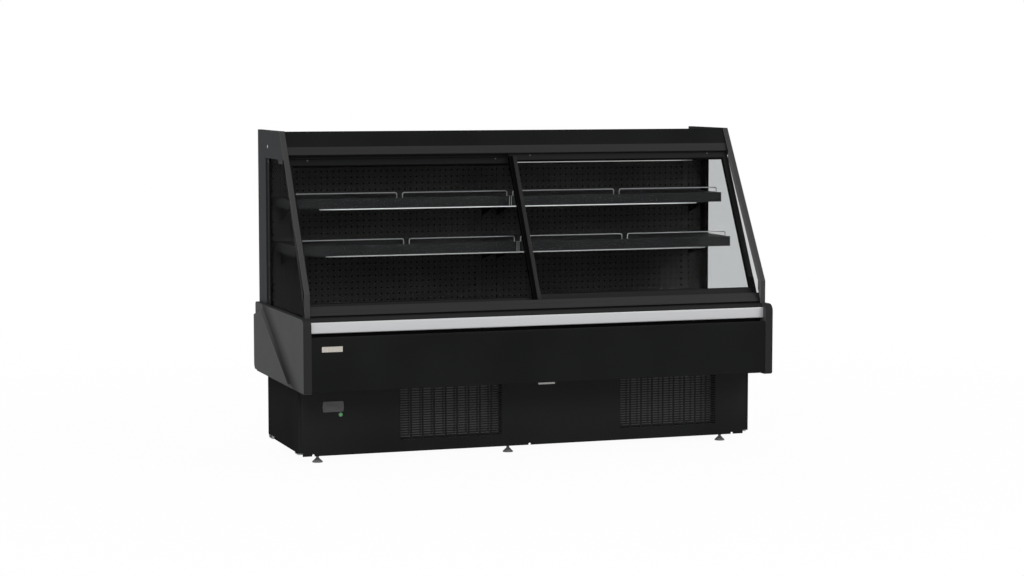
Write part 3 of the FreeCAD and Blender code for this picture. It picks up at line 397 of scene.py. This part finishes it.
track_grey = anodised("dark_track", (0.026, 0.026, 0.027), 0.48, 0.5, shine=0.03)
door_black = anodised("black_door_profile", (0.0145, 0.0148, 0.0150), 0.46, 0.4, shine=0.03)
stile_grey = anodised("stile_lip", (0.022, 0.022, 0.022), 0.45, 0.3, shine=0.03)
post_grey = anodised("grey_post", (0.047, 0.047, 0.047), 0.50, 0.4, UPRIGHT_RUN, shine=0.03,
                     patch=bare_inner_side)
handrail_silver = anodised("silver_handrail", (0.53, 0.535, 0.545), 0.42, 0.4, shine=0.05,
                           patch=painted_crown_shade, contrast=0.03)
plate_silver = anodised("silver_plate", (0.36, 0.355, 0.34), 0.35, 0.7, PLATE_RUN)
badge_silver = anodised("warm_silver_plate", (0.47, 0.44, 0.40), 0.38, 0.6, PLATE_RUN)
print("profiles with lines about", round(1000 / UPRIGHT_RUN[0], 1), "mm wide")

# %% [markdown]
# ## Moulded plastic and rubber
# The bumpers are moulded with a spark-eroded grain, like fine leather, and their narrow
# front is a darker insert. A Voronoi pattern gives the grain; the insert is a mask of the
# normal, let through where the surface looks forward. Painted shade darkens the hollow above
# the slanting crease, by a mask of the distance from the crease's line, and the upward edges
# too. The feet, seals and rollers use the same recipe without the masks.

# %% Plastics
GRAIN_SCALE = 620.0
GRAIN_DEPTH = 0.00008       # leather grain of the bumpers
SATIN = 0.00002             # finer grain of the small parts
CREASE_PLACE = Vector((0, -0.1975, 0.310))
CREASE_RUN = Vector((0, 0.460, 0.256)).normalized()
CREASE_EDGE = 0.004
CREASE_WIDTH = 0.085


def moulded(name, colour, rough, shine, grain=GRAIN_DEPTH, front=None, crease_shade=None):
    plastic = new_finish(name)
    cells = plastic.add("TexVoronoi", sockets={"Vector": plastic.place(), "Scale": GRAIN_SCALE})
    cloud = plastic.noise(5.0, 3.0)
    tone = plastic.blend(cloud.step(0.3, 0.7), scaled(colour, 0.95), scaled(colour, 1.05))
    # Painted shade: a band above the crease's line and the faces that look up are darkened.
    if crease_shade:
        across = plastic.along("Z") * CREASE_RUN.y - plastic.along("Y") * CREASE_RUN.z
        off = across - (CREASE_PLACE.z * CREASE_RUN.y - CREASE_PLACE.y * CREASE_RUN.z)
        valley_shade = off.step(-CREASE_EDGE, 0.001) * (1 - off.step(CREASE_EDGE, CREASE_WIDTH))
        tone = plastic.blend(valley_shade, tone, crease_shade)
        tone = plastic.blend(plastic.facing("Z").step(0.5, 0.7), tone, crease_shade)
    if front:
        tone = plastic.blend((0 - plastic.facing("Y")).step(0.5, 0.7), tone, front)
    return plastic.close(plastic.principled(
        Base_Color=tone,
        Roughness=rough - 0.04 + 0.08 * cloud,
        Specular_IOR_Level=shine,
        Normal=plastic.bump(cells, grain, 0.5)))


bumper_grey = moulded("grained_bumper", (0.066, 0.067, 0.068), 0.66, 0.06,
                      front=(0.021, 0.021, 0.0215), crease_shade=(0.017, 0.017, 0.0175))
# Painted shade: the screen's slot walls and back are darker than its forward faces.
screen_grey = moulded("vent_screen", (0.040, 0.040, 0.040), 0.55, 0.02, SATIN,
                      front=(0.17, 0.17, 0.17))
foot_plastic = moulded("grey_foot", (0.17, 0.17, 0.168), 0.45, 0.1)
seal_rubber = moulded("seal_rubber", (0.014, 0.014, 0.014), 0.65, 0.02, SATIN)
bead_rubber = moulded("bead_rubber", (0.034, 0.034, 0.034), 0.55, 0.02, SATIN)
black_rubber = moulded("black_gasket", (0.0060, 0.0060, 0.0060), 0.65, 0.02, SATIN)
brush_black = moulded("black_brush", (0.0026, 0.0026, 0.0026), 0.75, 0.0, SATIN)
fan_plastic = moulded("fan_plastic", (0.022, 0.022, 0.022), 0.45, 0.4, SATIN)
window_plastic = moulded("controller_window", (0.105, 0.106, 0.106), 0.34, 0.08, grain=0.00001)
filter_black = moulded("filter_mat", (0.090, 0.090, 0.090), 0.80, 0.02, grain=0.00030)
nylon = moulded("white_nylon", (0.62, 0.62, 0.60), 0.45, 0.4, SATIN)
print("moulded grain of", round(1000 / GRAIN_SCALE, 1), "mm")

# %% [markdown]
# ## Bare metals
# Zinc on the frame and the ducts grows in flat crystals a centimetre wide: a Voronoi cell
# colour, turned to grey, gives each its own shade. The wire fences are bright chrome, the
# coil fins are raw aluminium with fine lines of painted shade between them, and the pipes are
# copper.

# %% Bare metals
CRYSTAL_SCALE = 95.0
ZINC_DARK = (0.30, 0.31, 0.32)
ZINC_LIGHT = (0.47, 0.48, 0.49)
FIN_RUN = (900, 2, 2)


def galvanised_steel():
    zinc = new_finish("galvanised_steel")
    cells = zinc.add("TexVoronoi", sockets={"Vector": zinc.place(), "Scale": CRYSTAL_SCALE},
                     out="Color")
    shade = zinc.add("RGBToBW", sockets={0: cells})
    fine = zinc.noise(400.0, 2.0)
    return zinc.close(zinc.principled(
        Base_Color=zinc.blend(shade, ZINC_DARK, ZINC_LIGHT),
        Metallic=0.8,
        Roughness=0.34 + 0.18 * shade + 0.06 * fine))


def bright_metal(name, colour, rough, fin_gap_shade=0.0):
    metal = new_finish(name)
    cloud = metal.noise(60.0, 2.0)
    # Painted shade: fine darker lines between the fins.
    fins = metal.noise(1.0, 1.0, FIN_RUN)
    return metal.close(metal.principled(
        Base_Color=metal.blend(fins * fin_gap_shade, colour, scaled(colour, 0.45)),
        Metallic=1.0,
        Roughness=rough + 0.10 * cloud))


galvanised = galvanised_steel()
chrome_wire = bright_metal("chrome_wire", (0.42, 0.42, 0.43), 0.25)
screw_metal = bright_metal("screw_metal", (0.60, 0.60, 0.59), 0.25)
fin_metal = bright_metal("fin_metal", (0.58, 0.59, 0.60), 0.40, fin_gap_shade=0.9)
black_fins = bright_metal("black_fins", (0.030, 0.030, 0.031), 0.45, fin_gap_shade=0.9)
copper = bright_metal("copper_pipe", (0.70, 0.32, 0.18), 0.28)
print("zinc crystals of about", round(1000 / CRYSTAL_SCALE), "mm")

# %% [markdown]
# ## Glass
# A thin pane could be a flat sheet, but its edge would vanish, so the panes keep their real
# thickness. Glass in a path tracer stops lamp light, so the shader lets rays from lamps pass
# through a Transparent shader of the glass's own tint, and all others meet the pane. The
# panes bend light far less than real glass (1.5): at this low angle its mirror image of the
# white studio would fog the inside, which the product sheet doesn't show.

# %% Glass
SMEAR_SCALE = 7.0
SMEAR_ROUGH = 0.02


def pane_glass(name, tint, bend):
    glass = new_finish(name)
    smear = glass.noise(SMEAR_SCALE, 4.0).step(0.45, 0.8)
    solid = glass.principled(Base_Color=tint, Transmission_Weight=1.0, IOR=bend,
                             Roughness=SMEAR_ROUGH * smear)
    clear = glass.add("BsdfTransparent", sockets={"Color": tint})
    lamp_ray = glass.add("LightPath", out="Is Shadow Ray")
    return glass.close(glass.add("MixShader", sockets={0: lamp_ray, 1: solid, 2: clear}))


door_glass = pane_glass("door_glass", (0.79, 0.805, 0.81), 1.05)
end_glass = pane_glass("end_glass", (0.60, 0.61, 0.61), 1.008)
print("glass for the doors and for the ends")

# %% [markdown]
# ## Lights and the green switch
# The light strips have a milky lens. It is bright in the middle and falls off towards its
# ends, where the diodes stop, so the emission is a step of the distance from the middle.
# Only the lower edge of each strip is lens; the rest is its dark holder. Painted shade makes
# the lowest strip dimmer than the other two, in its glow and in its colour.

# %% Glowing finishes
LIGHT_REACH = 0.80
LIGHT_FADE = 0.10
LIT_HEIGHT = 0.0028
LENS_FEET = ((0.787, 0.55), (0.965, 1.0), (1.140, 1.0))     # lower edge and share of each; the lowest one's smaller share is painted shade


def light_lens():
    lens = new_finish("light_lens")
    fade = 1 - lens.math("ABSOLUTE", lens.along("X")).step(LIGHT_REACH - LIGHT_FADE, LIGHT_REACH)
    lit = sum(share * lens.between("Z", low, low + LIT_HEIGHT) for low, share in LENS_FEET)
    return lens.close(lens.principled(
        Base_Color=lens.blend(lit, (0.03, 0.03, 0.03), (0.55, 0.55, 0.54)), Roughness=0.35,
        Emission_Color=lens.blend(fade * lit, (0.01, 0.01, 0.01), (1.0, 0.985, 0.95)),
        Emission_Strength=0.50))


def lit_switch():
    button = new_finish("lit_green_switch")
    cloud = button.noise(300.0, 2.0)
    return button.close(button.principled(
        Base_Color=button.blend(cloud, (0.070, 0.30, 0.095), (0.085, 0.34, 0.115)),
        Roughness=0.28, Emission_Color=(0.05, 0.30, 0.08), Emission_Strength=0.12))


lens_white = light_lens()
switch_green = lit_switch()
print("lenses fade over the last", round(1000 * LIGHT_FADE), "mm")

# %% [markdown]
# ## Finishes for the solids
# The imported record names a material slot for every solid, so one table takes each slot to
# its finish. A few solids that share a slot differ on the real case and get their own.

# %% Dress the solids
by_slot = {
    "black_sheet": black_coat, "slate_sheet": slate_coat, "track_grey": track_grey,
    "post_grey": post_grey, "door_profile": door_black, "handrail_strip": handrail_silver,
    "bumper_grey": bumper_grey, "foam_body": skin_coat, "clear_glass": door_glass,
    "tinted_glass": end_glass, "seal_rubber": seal_rubber, "galvanised": galvanised,
    "coil_fins": fin_metal, "fan_plastic": fan_plastic, "compressor_black": skin_coat,
    "foot_grey": foot_plastic, "plate_silver": plate_silver, "window_grey": window_plastic,
    "switch_green": switch_green, "fence_wire": chrome_wire, "light_white": lens_white,
    "roller_nylon": nylon,
}
by_node = {
    "badge_plate": badge_silver, "back_panel": inside_black, "deck_trays": inside_black,
    "upper_shelves": shelf_black, "lower_shelves": shelf_black, "rear_wall": skin_coat,
    "vent_screens": screen_grey, "condenser_coil": black_fins,
    "base_front_panel": base_coat, "base_side_panels": side_coat,
}
slot_of = {part["node"]: part["material_slot"] for part in frame["record"]["subparts"]}
for name, solid in nodes.items():
    for slot in solid.material_slots:
        slot.material = by_node.get(name, by_slot[slot_of[name]])
print("dressed", len(nodes), "solids in", len(by_slot), "slots")

# %% [markdown]
# ## Making small parts
# Small parts are built from points and faces. `Shape` gathers them: it can take a turned
# profile, a bar of any section or a box, and place each in any direction. Only when it is
# full does it become one mesh with one finish, which rides on a body of the case.

# %% Shapes
SHARP_FROM = math.radians(35)
SCREW = [(0.0015, 0.0006), (0.0015, 0.0019), (0.0028, 0.0022), (0.0036, 0.0014), (0.0040, 0.0)]
DOME_SIDES = 20


class Shape:
    def __init__(self):
        self.points = []
        self.faces = []

    def put(self, points, faces, spot=Matrix.Identity(4)):
        first = len(self.points)
        self.points += [spot @ Vector(point) for point in points]
        self.faces += [[first + index for index in face] for face in faces]
        return self

    def turned(self, profile, spot, sides=24):
        """A profile of (radius, height) turned about the spot's z axis."""
        turns = [math.tau * k / sides for k in range(sides)]
        points = [(radius * math.cos(turn), radius * math.sin(turn), height)
                  for radius, height in profile for turn in turns]
        faces = [[r * sides + k, r * sides + (k + 1) % sides, (r + 1) * sides + (k + 1) % sides,
                  (r + 1) * sides + k] for r in range(len(profile) - 1) for k in range(sides)]
        faces.append(list(range(sides))[::-1])
        faces.append([(len(profile) - 1) * sides + k for k in range(sides)])
        return self.put(points, faces, spot)

    def bar(self, section, x0, x1, spot=Matrix.Identity(4)):
        """A closed section of (y, z) drawn along x."""
        count = len(section)
        points = [(x, y, z) for x in (x0, x1) for y, z in section]
        faces = [[k, (k + 1) % count, count + (k + 1) % count, count + k] for k in range(count)]
        faces.append(list(range(count))[::-1])
        faces.append([count + k for k in range(count)])
        return self.put(points, faces, spot)

    def block(self, low, high, spot=Matrix.Identity(4)):
        section = [(low[1], low[2]), (high[1], low[2]), (high[1], high[2]), (low[1], high[2])]
        return self.bar(section, low[0], high[0], spot)

    def piece(self, name, finish, body, slot, edge=0.0, smooth=True):
        """One mesh of all points, its edges rounded by edge, riding on body."""
        mesh = bpy.data.meshes.new(name)
        mesh.from_pydata([tuple(point) for point in self.points], [], self.faces)
        build = bmesh.new()
        build.from_mesh(mesh)
        bmesh.ops.recalc_face_normals(build, faces=build.faces)
        if edge:
            bmesh.ops.bevel(build, geom=build.edges, offset=edge, segments=2, profile=0.5,
                            affect="EDGES")
        build.to_mesh(mesh)
        build.free()
        mesh.materials.append(finish)
        if smooth:
            mesh.shade_smooth()
            mesh.set_sharp_from_angle(angle=SHARP_FROM)
        made = bpy.data.objects.new(name, mesh)
        bpy.context.scene.collection.objects.link(made)
        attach(made, body)
        return made


def spot_at(place, towards):
    """Frame at place whose z axis points towards."""
    turn = Vector(towards).to_track_quat("Z", "Y").to_matrix().to_4x4()
    return Matrix.Translation(Vector(place)) @ turn


def screw_heads(shape, places, towards, size=1.0):
    for place in places:
        shape.turned([(size * radius, size * height) for radius, height in SCREW],
                     spot_at(place, towards), DOME_SIDES)


print("a screw head has", len(SCREW) * DOME_SIDES, "points")

# %% [markdown]
# ## Door details
# Each pane sits in its profiles with a rubber bead on both sides, which shows as a thin
# black line. The head of each door carries two guide pins, the two small dots under the
# upper track, and the right door has a rubber stop where it meets the end post. Where the
# doors meet, the right one carries a seal and a brush towards the left one, and its stile
# shows a groove, drawn as a flat black strip of painted shade, with a paler lip beside it.

# %% Door details
DOORS = {
    "left_door": (-0.9345, 0.0205, 0.040),      # left edge, right edge, depth of its front face
    "right_door": (-0.0205, 0.9345, 0.013),
}
DOOR_THICK = 0.016
STILE = 0.022
RAIL_TOP = 0.028            # lower rail's upper edge, along the lean
HEAD_LOW = 0.617            # upper rail's lower edge
BEAD = 0.0035
PANE_HALF = 0.0026          # half a pane with its play in the groove
SKIRT = 0.001               # a bead lies this far behind the face of its profile
PIN_INSET = 0.090
PIN_HEIGHT = 0.6365

STOP_X = DOORS["right_door"][1]
STILE_RUN = (0.006, 0.634)
# Strips on the right door: two corners on the lean (along, depth, height), finish, slot, edge.
STRIPS = {
    "right_door_stop": ((STOP_X - 0.020, 0.0105, 0.004), (STOP_X, 0.0130, 0.075),
                        black_rubber, "seal_rubber", 0.0008),
    "meeting_brush": ((-0.0155, 0.0290, -0.010), (-0.0105, 0.0385, 0.640),
                      brush_black, "seal_rubber", 0.0),
    "meeting_stile_seal": ((-0.0212, 0.0136, STILE_RUN[0]), (-0.0205, 0.0288, STILE_RUN[1]),
                           brush_black, "seal_rubber", 0.0),
    # Painted shade: a flat black strip stands for the groove.
    "meeting_stile_groove": ((-0.0200, 0.0125, STILE_RUN[0]), (-0.0050, 0.0131, STILE_RUN[1]),
                             brush_black, "seal_rubber", 0.0),
    "meeting_stile_lip": ((-0.0050, 0.0120, STILE_RUN[0]), (0.0105, 0.0131, STILE_RUN[1]),
                          stile_grey, "door_profile", 0.0003),
}

for body, (left, right, front) in DOORS.items():
    beads = Shape()
    x0, x1 = left + STILE, right - STILE
    middle = front + DOOR_THICK / 2
    for near, far in ((front + SKIRT, middle - PANE_HALF),
                      (middle + PANE_HALF, front + DOOR_THICK - SKIRT)):
        beads.block((x0, near, RAIL_TOP), (x1, far, RAIL_TOP + BEAD), LEAN_SPOT)
        beads.block((x0, near, HEAD_LOW - BEAD), (x1, far, HEAD_LOW), LEAN_SPOT)
        beads.block((x0, near, RAIL_TOP), (x0 + BEAD, far, HEAD_LOW), LEAN_SPOT)
        beads.block((x1 - BEAD, near, RAIL_TOP), (x1, far, HEAD_LOW), LEAN_SPOT)
    beads.piece(body + "_beads", black_rubber, body, "seal_rubber", edge=0.0006)
    pins = Shape()
    pin_places = [on_lean(x, front, PIN_HEIGHT) for x in (left + PIN_INSET, right - PIN_INSET)]
    screw_heads(pins, pin_places, lean_out, 0.8)
    pins.piece(body + "_guide_pins", window_plastic, body, "fence_wire")

for name, (low, high, finish, slot, edge) in STRIPS.items():
    Shape().block(low, high, LEAN_SPOT).piece(name, finish, "right_door", slot, edge=edge)
print(len(DOORS), "doors have beads and pins, the right one also", len(STRIPS), "strips")

# %% [markdown]
# ## Wires at the shelf joint
# Each tier is made of two shelves that meet in the middle. The feet of their wire fences
# come down side by side over the front of the joint, two thin upright wires per tier.

# %% Wires at the shelf joint
JOINTS = {"upper": (-0.0095, 0.970, 1.010), "lower": (-0.1015, 0.792, 0.833)}    # y, low, high
JOINT_WIRES = (-0.0172, -0.0092)
WIRE_RADIUS = 0.0011
WIRE_GAP = 0.0010

for tier, (face, low, high) in JOINTS.items():
    legs = Shape()
    for x in JOINT_WIRES:
        legs.turned([(WIRE_RADIUS, low), (WIRE_RADIUS, high)],
                    Matrix.Translation((x, face - WIRE_GAP, 0)), 12)
    legs.piece("shelf_joint_wires_" + tier, chrome_wire, "cabinet", "fence_wire")
print(len(JOINT_WIRES), "wires at each of", len(JOINTS), "shelf joints")

# %% [markdown]
# ## End details
# The gussets are screwed through a hole that a small grey plug closes. Behind the rear edge of
# each end glass runs a thin light bead with three small screws.

# %% End details
SIDES = {"left": -1, "right": 1}
PLUG_Y, PLUG_Z = 0.2245, 1.2094
PLUG = [(0.0065, 0.0), (0.0065, 0.0006), (0.0050, 0.0012), (0.0, 0.0014)]
END_THICK = 0.015           # gusset plate beyond the module
WEB_THICK = 0.011           # web beside the end glass
END_BEAD_PROUD = 0.0015
END_BEAD_Y = (0.2180, 0.2220)
END_BEAD_Z = (0.580, 1.162)
END_SCREW_Y = 0.226
END_SCREW_Z = (1.150, 0.741, 0.606)

for side, sign in SIDES.items():
    outward = (sign, 0, 0)
    plug_spot = spot_at((sign * (HALF + END_THICK), PLUG_Y, PLUG_Z), outward)
    plug = Shape().turned(PLUG, plug_spot)
    plug.piece("gusset_plug_" + side, plate_silver, "cabinet", "plate_silver")
    web = sign * (HALF + WEB_THICK)
    x0, x1 = sorted((web, web + sign * END_BEAD_PROUD))
    bead = Shape().block((x0, END_BEAD_Y[0], END_BEAD_Z[0]), (x1, END_BEAD_Y[1], END_BEAD_Z[1]))
    bead.piece("end_glass_bead_" + side, bead_rubber, "cabinet", "seal_rubber", edge=0.0004)
    screws = Shape()
    screw_heads(screws, [(web, END_SCREW_Y, z) for z in END_SCREW_Z], outward, 0.5)
    screws.piece("end_glass_screws_" + side, screw_metal, "cabinet", "fence_wire")
print("each end has a plug, a bead and", len(END_SCREW_Z), "screws")

# %% [markdown]
# ## Liners inside the front posts
# The side of a front post that looks at the doors is a separate pale strip, one millimetre
# thick. It follows the post's outline from the sill up the lean, so it is a flat bar whose
# section is that outline.

# %% Liners inside the front posts
LINER = [(-0.3520, 0.600), (-0.3520, 0.667), (-0.0317, 1.180), (-0.0240, 1.180),
         (-0.0202, 1.150), (-0.3220, 0.667), (-0.3220, 0.632), (-0.3405, 0.600)]
LINER_X = (0.9360, 0.9370)
for side, sign in SIDES.items():
    liner = Shape().bar(LINER, *sorted(sign * x for x in LINER_X))
    liner.piece("post_liner_" + side, post_grey, "cabinet", "post_grey", smooth=False)
print("a liner of", len(LINER), "corners stands inside each front post")

# %% [markdown]
# ## Feet
# A lock nut on each stud holds the foot's height. It is a six-sided bar with turned corners.

# %% Lock nuts
NUT_ACROSS = 0.017
NUT_HEIGHT = 0.006
NUT_Z = 0.0280              # lower face of the nut above the floor
NUT_CORNER = NUT_ACROSS / math.sqrt(3)
NUT_EDGE = 0.0006

feet = [name for name in nodes if name.startswith("foot_")]
for foot in feet:
    low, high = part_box(foot)
    centre = (low + high) / 2
    nut = Shape().turned([(NUT_CORNER, 0.0), (NUT_CORNER, NUT_HEIGHT)],
                         spot_at((centre.x, centre.y, NUT_Z), (0, 0, 1)), 6)
    nut.piece(foot + "_nut", screw_metal, foot, "fence_wire", edge=NUT_EDGE, smooth=False)
print(len(feet), "lock nuts")

# %% [markdown]
# ## Filter mats
# Behind each slotted screen lies a black filter mat that keeps fluff off the condenser. It
# also stops the view through the slots, which would otherwise run to the lit rear louvres.

# %% Filter mats
FILTERS = {"left": -0.3295, "right": 0.5912}        # middle of each vent
FILTER_HALF = 0.2175
FILTER_Y = (-0.1477, -0.1455)
FILTER_Z = (0.0765, 0.2840)

for side, centre in FILTERS.items():
    mat = Shape().block((centre - FILTER_HALF, FILTER_Y[0], FILTER_Z[0]),
                        (centre + FILTER_HALF, FILTER_Y[1], FILTER_Z[1]))
    mat.piece("vent_filter_" + side, filter_black, "cabinet", "fan_plastic")
print(len(FILTERS), "filter mats of", round(2000 * FILTER_HALF), "mm")

# %% [markdown]
# ## The perforated duct panel
# The duct panel is pierced by rows of round holes for the cold air and by the brackets'
# slots, so the plain solid is replaced. Each cell of a grid is a square with a hole of eight
# corners, a ring of eight quads; cells that hold a slot get an oblong hole instead. Plain
# strips close the panel below and above the grid, and a flange runs forward at its top.

# %% Perforated duct panel
PANEL_FRONT = 0.2580
PANEL_BACK = 0.2595
PANEL_LOW, PANEL_HIGH = 0.500, 1.165
FLANGE_FRONT = 0.1025
FLANGE_LOW = 1.1635
CELL = 0.025
HOLE = 0.0040
ROUND = math.sqrt(0.5)      # pulls a square's corners in to its circle
ROWS_FROM = 0.5175
ROWS = 25
ROWS_TO = ROWS_FROM + ROWS * CELL
SLOT_HALF = (0.0020, 0.0060)
SLOT_COLUMNS = (-0.8925, -0.0445, 0.0195, 0.8825)
AROUND = ((-1, -1), (0, -1), (1, -1), (1, 0), (1, 1), (0, 1), (-1, 1), (-1, 0))


def ring(cx, cz, across, up, corner=1):
    """Eight points from the lower left one, the four at the corners pulled in by corner."""
    pull = [corner if x and z else 1 for x, z in AROUND]
    return [(cx + x * across * cut, cz + z * up * cut) for (x, z), cut in zip(AROUND, pull)]


def cell_faces():
    """Front ring, back ring and the hole's wall between the four loops of a cell."""
    faces = []
    for k in range(8):
        n = (k + 1) % 8
        faces += [[k, n, 8 + n, 8 + k], [16 + n, 16 + k, 24 + k, 24 + n],
                  [8 + k, 8 + n, 24 + n, 24 + k]]
    return faces


panel = Shape()
columns = round(2 * HALF / CELL)
for row in range(ROWS):
    for column in range(columns):
        cx = -HALF + (column + 0.5) * CELL
        cz = ROWS_FROM + (row + 0.5) * CELL
        slot_x = [x for x in SLOT_COLUMNS if abs(x - cx) <= CELL / 2 and row > 0]
        outer = ring(cx, cz, CELL / 2, CELL / 2)
        inner = ring(slot_x[0], cz, *SLOT_HALF) if slot_x else ring(cx, cz, HOLE, HOLE, ROUND)
        panel.put([(x, y, z) for y in (PANEL_FRONT, PANEL_BACK)
                   for loop in (outer, inner) for x, z in loop], cell_faces())
panel.block((-HALF, PANEL_FRONT, PANEL_LOW), (HALF, PANEL_BACK, ROWS_FROM))
panel.block((-HALF, PANEL_FRONT, ROWS_TO), (HALF, PANEL_BACK, PANEL_HIGH))
panel.block((-HALF, FLANGE_FRONT, FLANGE_LOW), (HALF, PANEL_FRONT, PANEL_HIGH))
pierced = panel.piece("back_panel_pierced", duct_black, "cabinet", "black_sheet", smooth=False)
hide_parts("back_panel")
print("the duct panel has", ROWS * columns, "cells and", len(pierced.data.polygons), "faces")

# %% [markdown]
# ## The controller window
# A smoked display and its two keys sit in the controller's window. The display is a dark
# sheet just proud of the window; the keys are low domes.

# %% Controller window
DISPLAY_X = (-0.8345, -0.7905)
DISPLAY_Z = (0.2085, 0.2290)
DISPLAY_PROUD = 0.0004
KEY_X = -0.7830
KEY_HEIGHTS = (0.2235, 0.2140)
KEY = [(0.0030, 0.0), (0.0026, 0.0005), (0.0, 0.0007)]

window_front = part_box("control_unit")[0].y
display = Shape().block((DISPLAY_X[0], window_front - DISPLAY_PROUD, DISPLAY_Z[0]),
                        (DISPLAY_X[1], window_front + DISPLAY_PROUD, DISPLAY_Z[1]))
display.piece("controller_display", window_plastic, "cabinet", "window_grey", edge=0.0003)
keys = Shape()
for z in KEY_HEIGHTS:
    keys.turned(KEY, spot_at((KEY_X, window_front, z), (0, -1, 0)), DOME_SIDES)
keys.piece("controller_keys", window_plastic, "cabinet", "window_grey")
print("window front at y =", round(window_front, 4))

# %% [markdown]
# ## Pipes of the cooling unit
# Copper pipes join the compressor to the condenser and both to the coil in the tank. Each
# is a smooth curve through a few points with a round bevel, which bends like real pipe.

# %% Pipes
PIPES = {       # radius, then the points that pull the curve
    "discharge_pipe": (0.004, [(0.060, 0.020, 0.235), (0.060, -0.030, 0.262),
                               (-0.060, -0.075, 0.262), (-0.120, -0.100, 0.262),
                               (-0.126, -0.105, 0.240)]),
    "suction_pipe": (0.006, [(0.105, 0.080, 0.230), (0.150, 0.110, 0.262),
                             (0.165, 0.130, 0.300), (0.165, 0.130, 0.345)]),
    "liquid_pipe": (0.003, [(-0.126, -0.105, 0.110), (-0.090, -0.060, 0.104),
                            (0.000, -0.030, 0.104), (0.145, 0.100, 0.110),
                            (0.150, 0.128, 0.200), (0.150, 0.130, 0.345)]),
}


def pipe(name, radius, route):
    curve = bpy.data.curves.new(name, "CURVE")
    curve.dimensions = "3D"
    curve.bevel_depth = radius
    curve.bevel_resolution = 3
    spline = curve.splines.new("NURBS")
    spline.points.add(len(route) - 1)
    for point, place in zip(spline.points, route):
        point.co = (*place, 1)
    spline.order_u = 3
    spline.use_endpoint_u = True
    curve.materials.append(copper)
    made = bpy.data.objects.new(name, curve)
    bpy.context.scene.collection.objects.link(made)
    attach(made, "cabinet")


for name, (radius, route) in PIPES.items():
    pipe(name, radius, route)
print(len(PIPES), "pipes")

# %% [markdown]
# ## Back and top
# The rear of the case is a plain foamed wall. It is made of two skins whose seam is covered
# by a strip, with a row of rivets down both edges. The roof carries a seam cover too, and
# the rear base panel is held by screws.

# %% Back and top
BACK_Y = 0.3925
TO_BACK = (0, 1, 0)
RIVET_X = 0.915
RIVET_LOW, RIVET_STEP, RIVETS = 0.36, 0.118, 8
SEAM_HALF = 0.020
SEAM_THICK = 0.0012
SEAM_Z = (0.310, 1.210)
ROOF_SEAM_Y = (0.045, 0.389)
ROOF_Z = 1.2530
BASE_BACK_Y = 0.2825
BASE_SCREWS = [(x, BASE_BACK_Y, z) for x in (-RIVET_X, -0.46, 0.0, 0.46, RIVET_X)
               for z in (0.075, 0.280)]

rivets = Shape()
for x in (-RIVET_X, RIVET_X):
    places = [(x, BACK_Y, RIVET_LOW + RIVET_STEP * k) for k in range(RIVETS)]
    screw_heads(rivets, places, TO_BACK, 0.9)
rivets.piece("rear_rivets", screw_metal, "cabinet", "fence_wire")
seams = Shape()
seams.block((-SEAM_HALF, BACK_Y, SEAM_Z[0]), (SEAM_HALF, BACK_Y + SEAM_THICK, SEAM_Z[1]))
seams.block((-SEAM_HALF, ROOF_SEAM_Y[0], ROOF_Z), (SEAM_HALF, ROOF_SEAM_Y[1], ROOF_Z + SEAM_THICK))
seams.piece("seam_covers", black_coat, "cabinet", "black_sheet", edge=0.0004)
base_screws = Shape()
screw_heads(base_screws, BASE_SCREWS, TO_BACK)
base_screws.piece("rear_base_screws", screw_metal, "cabinet", "fence_wire")
print(2 * RIVETS, "rear rivets, two seam covers and", len(BASE_SCREWS), "screws")
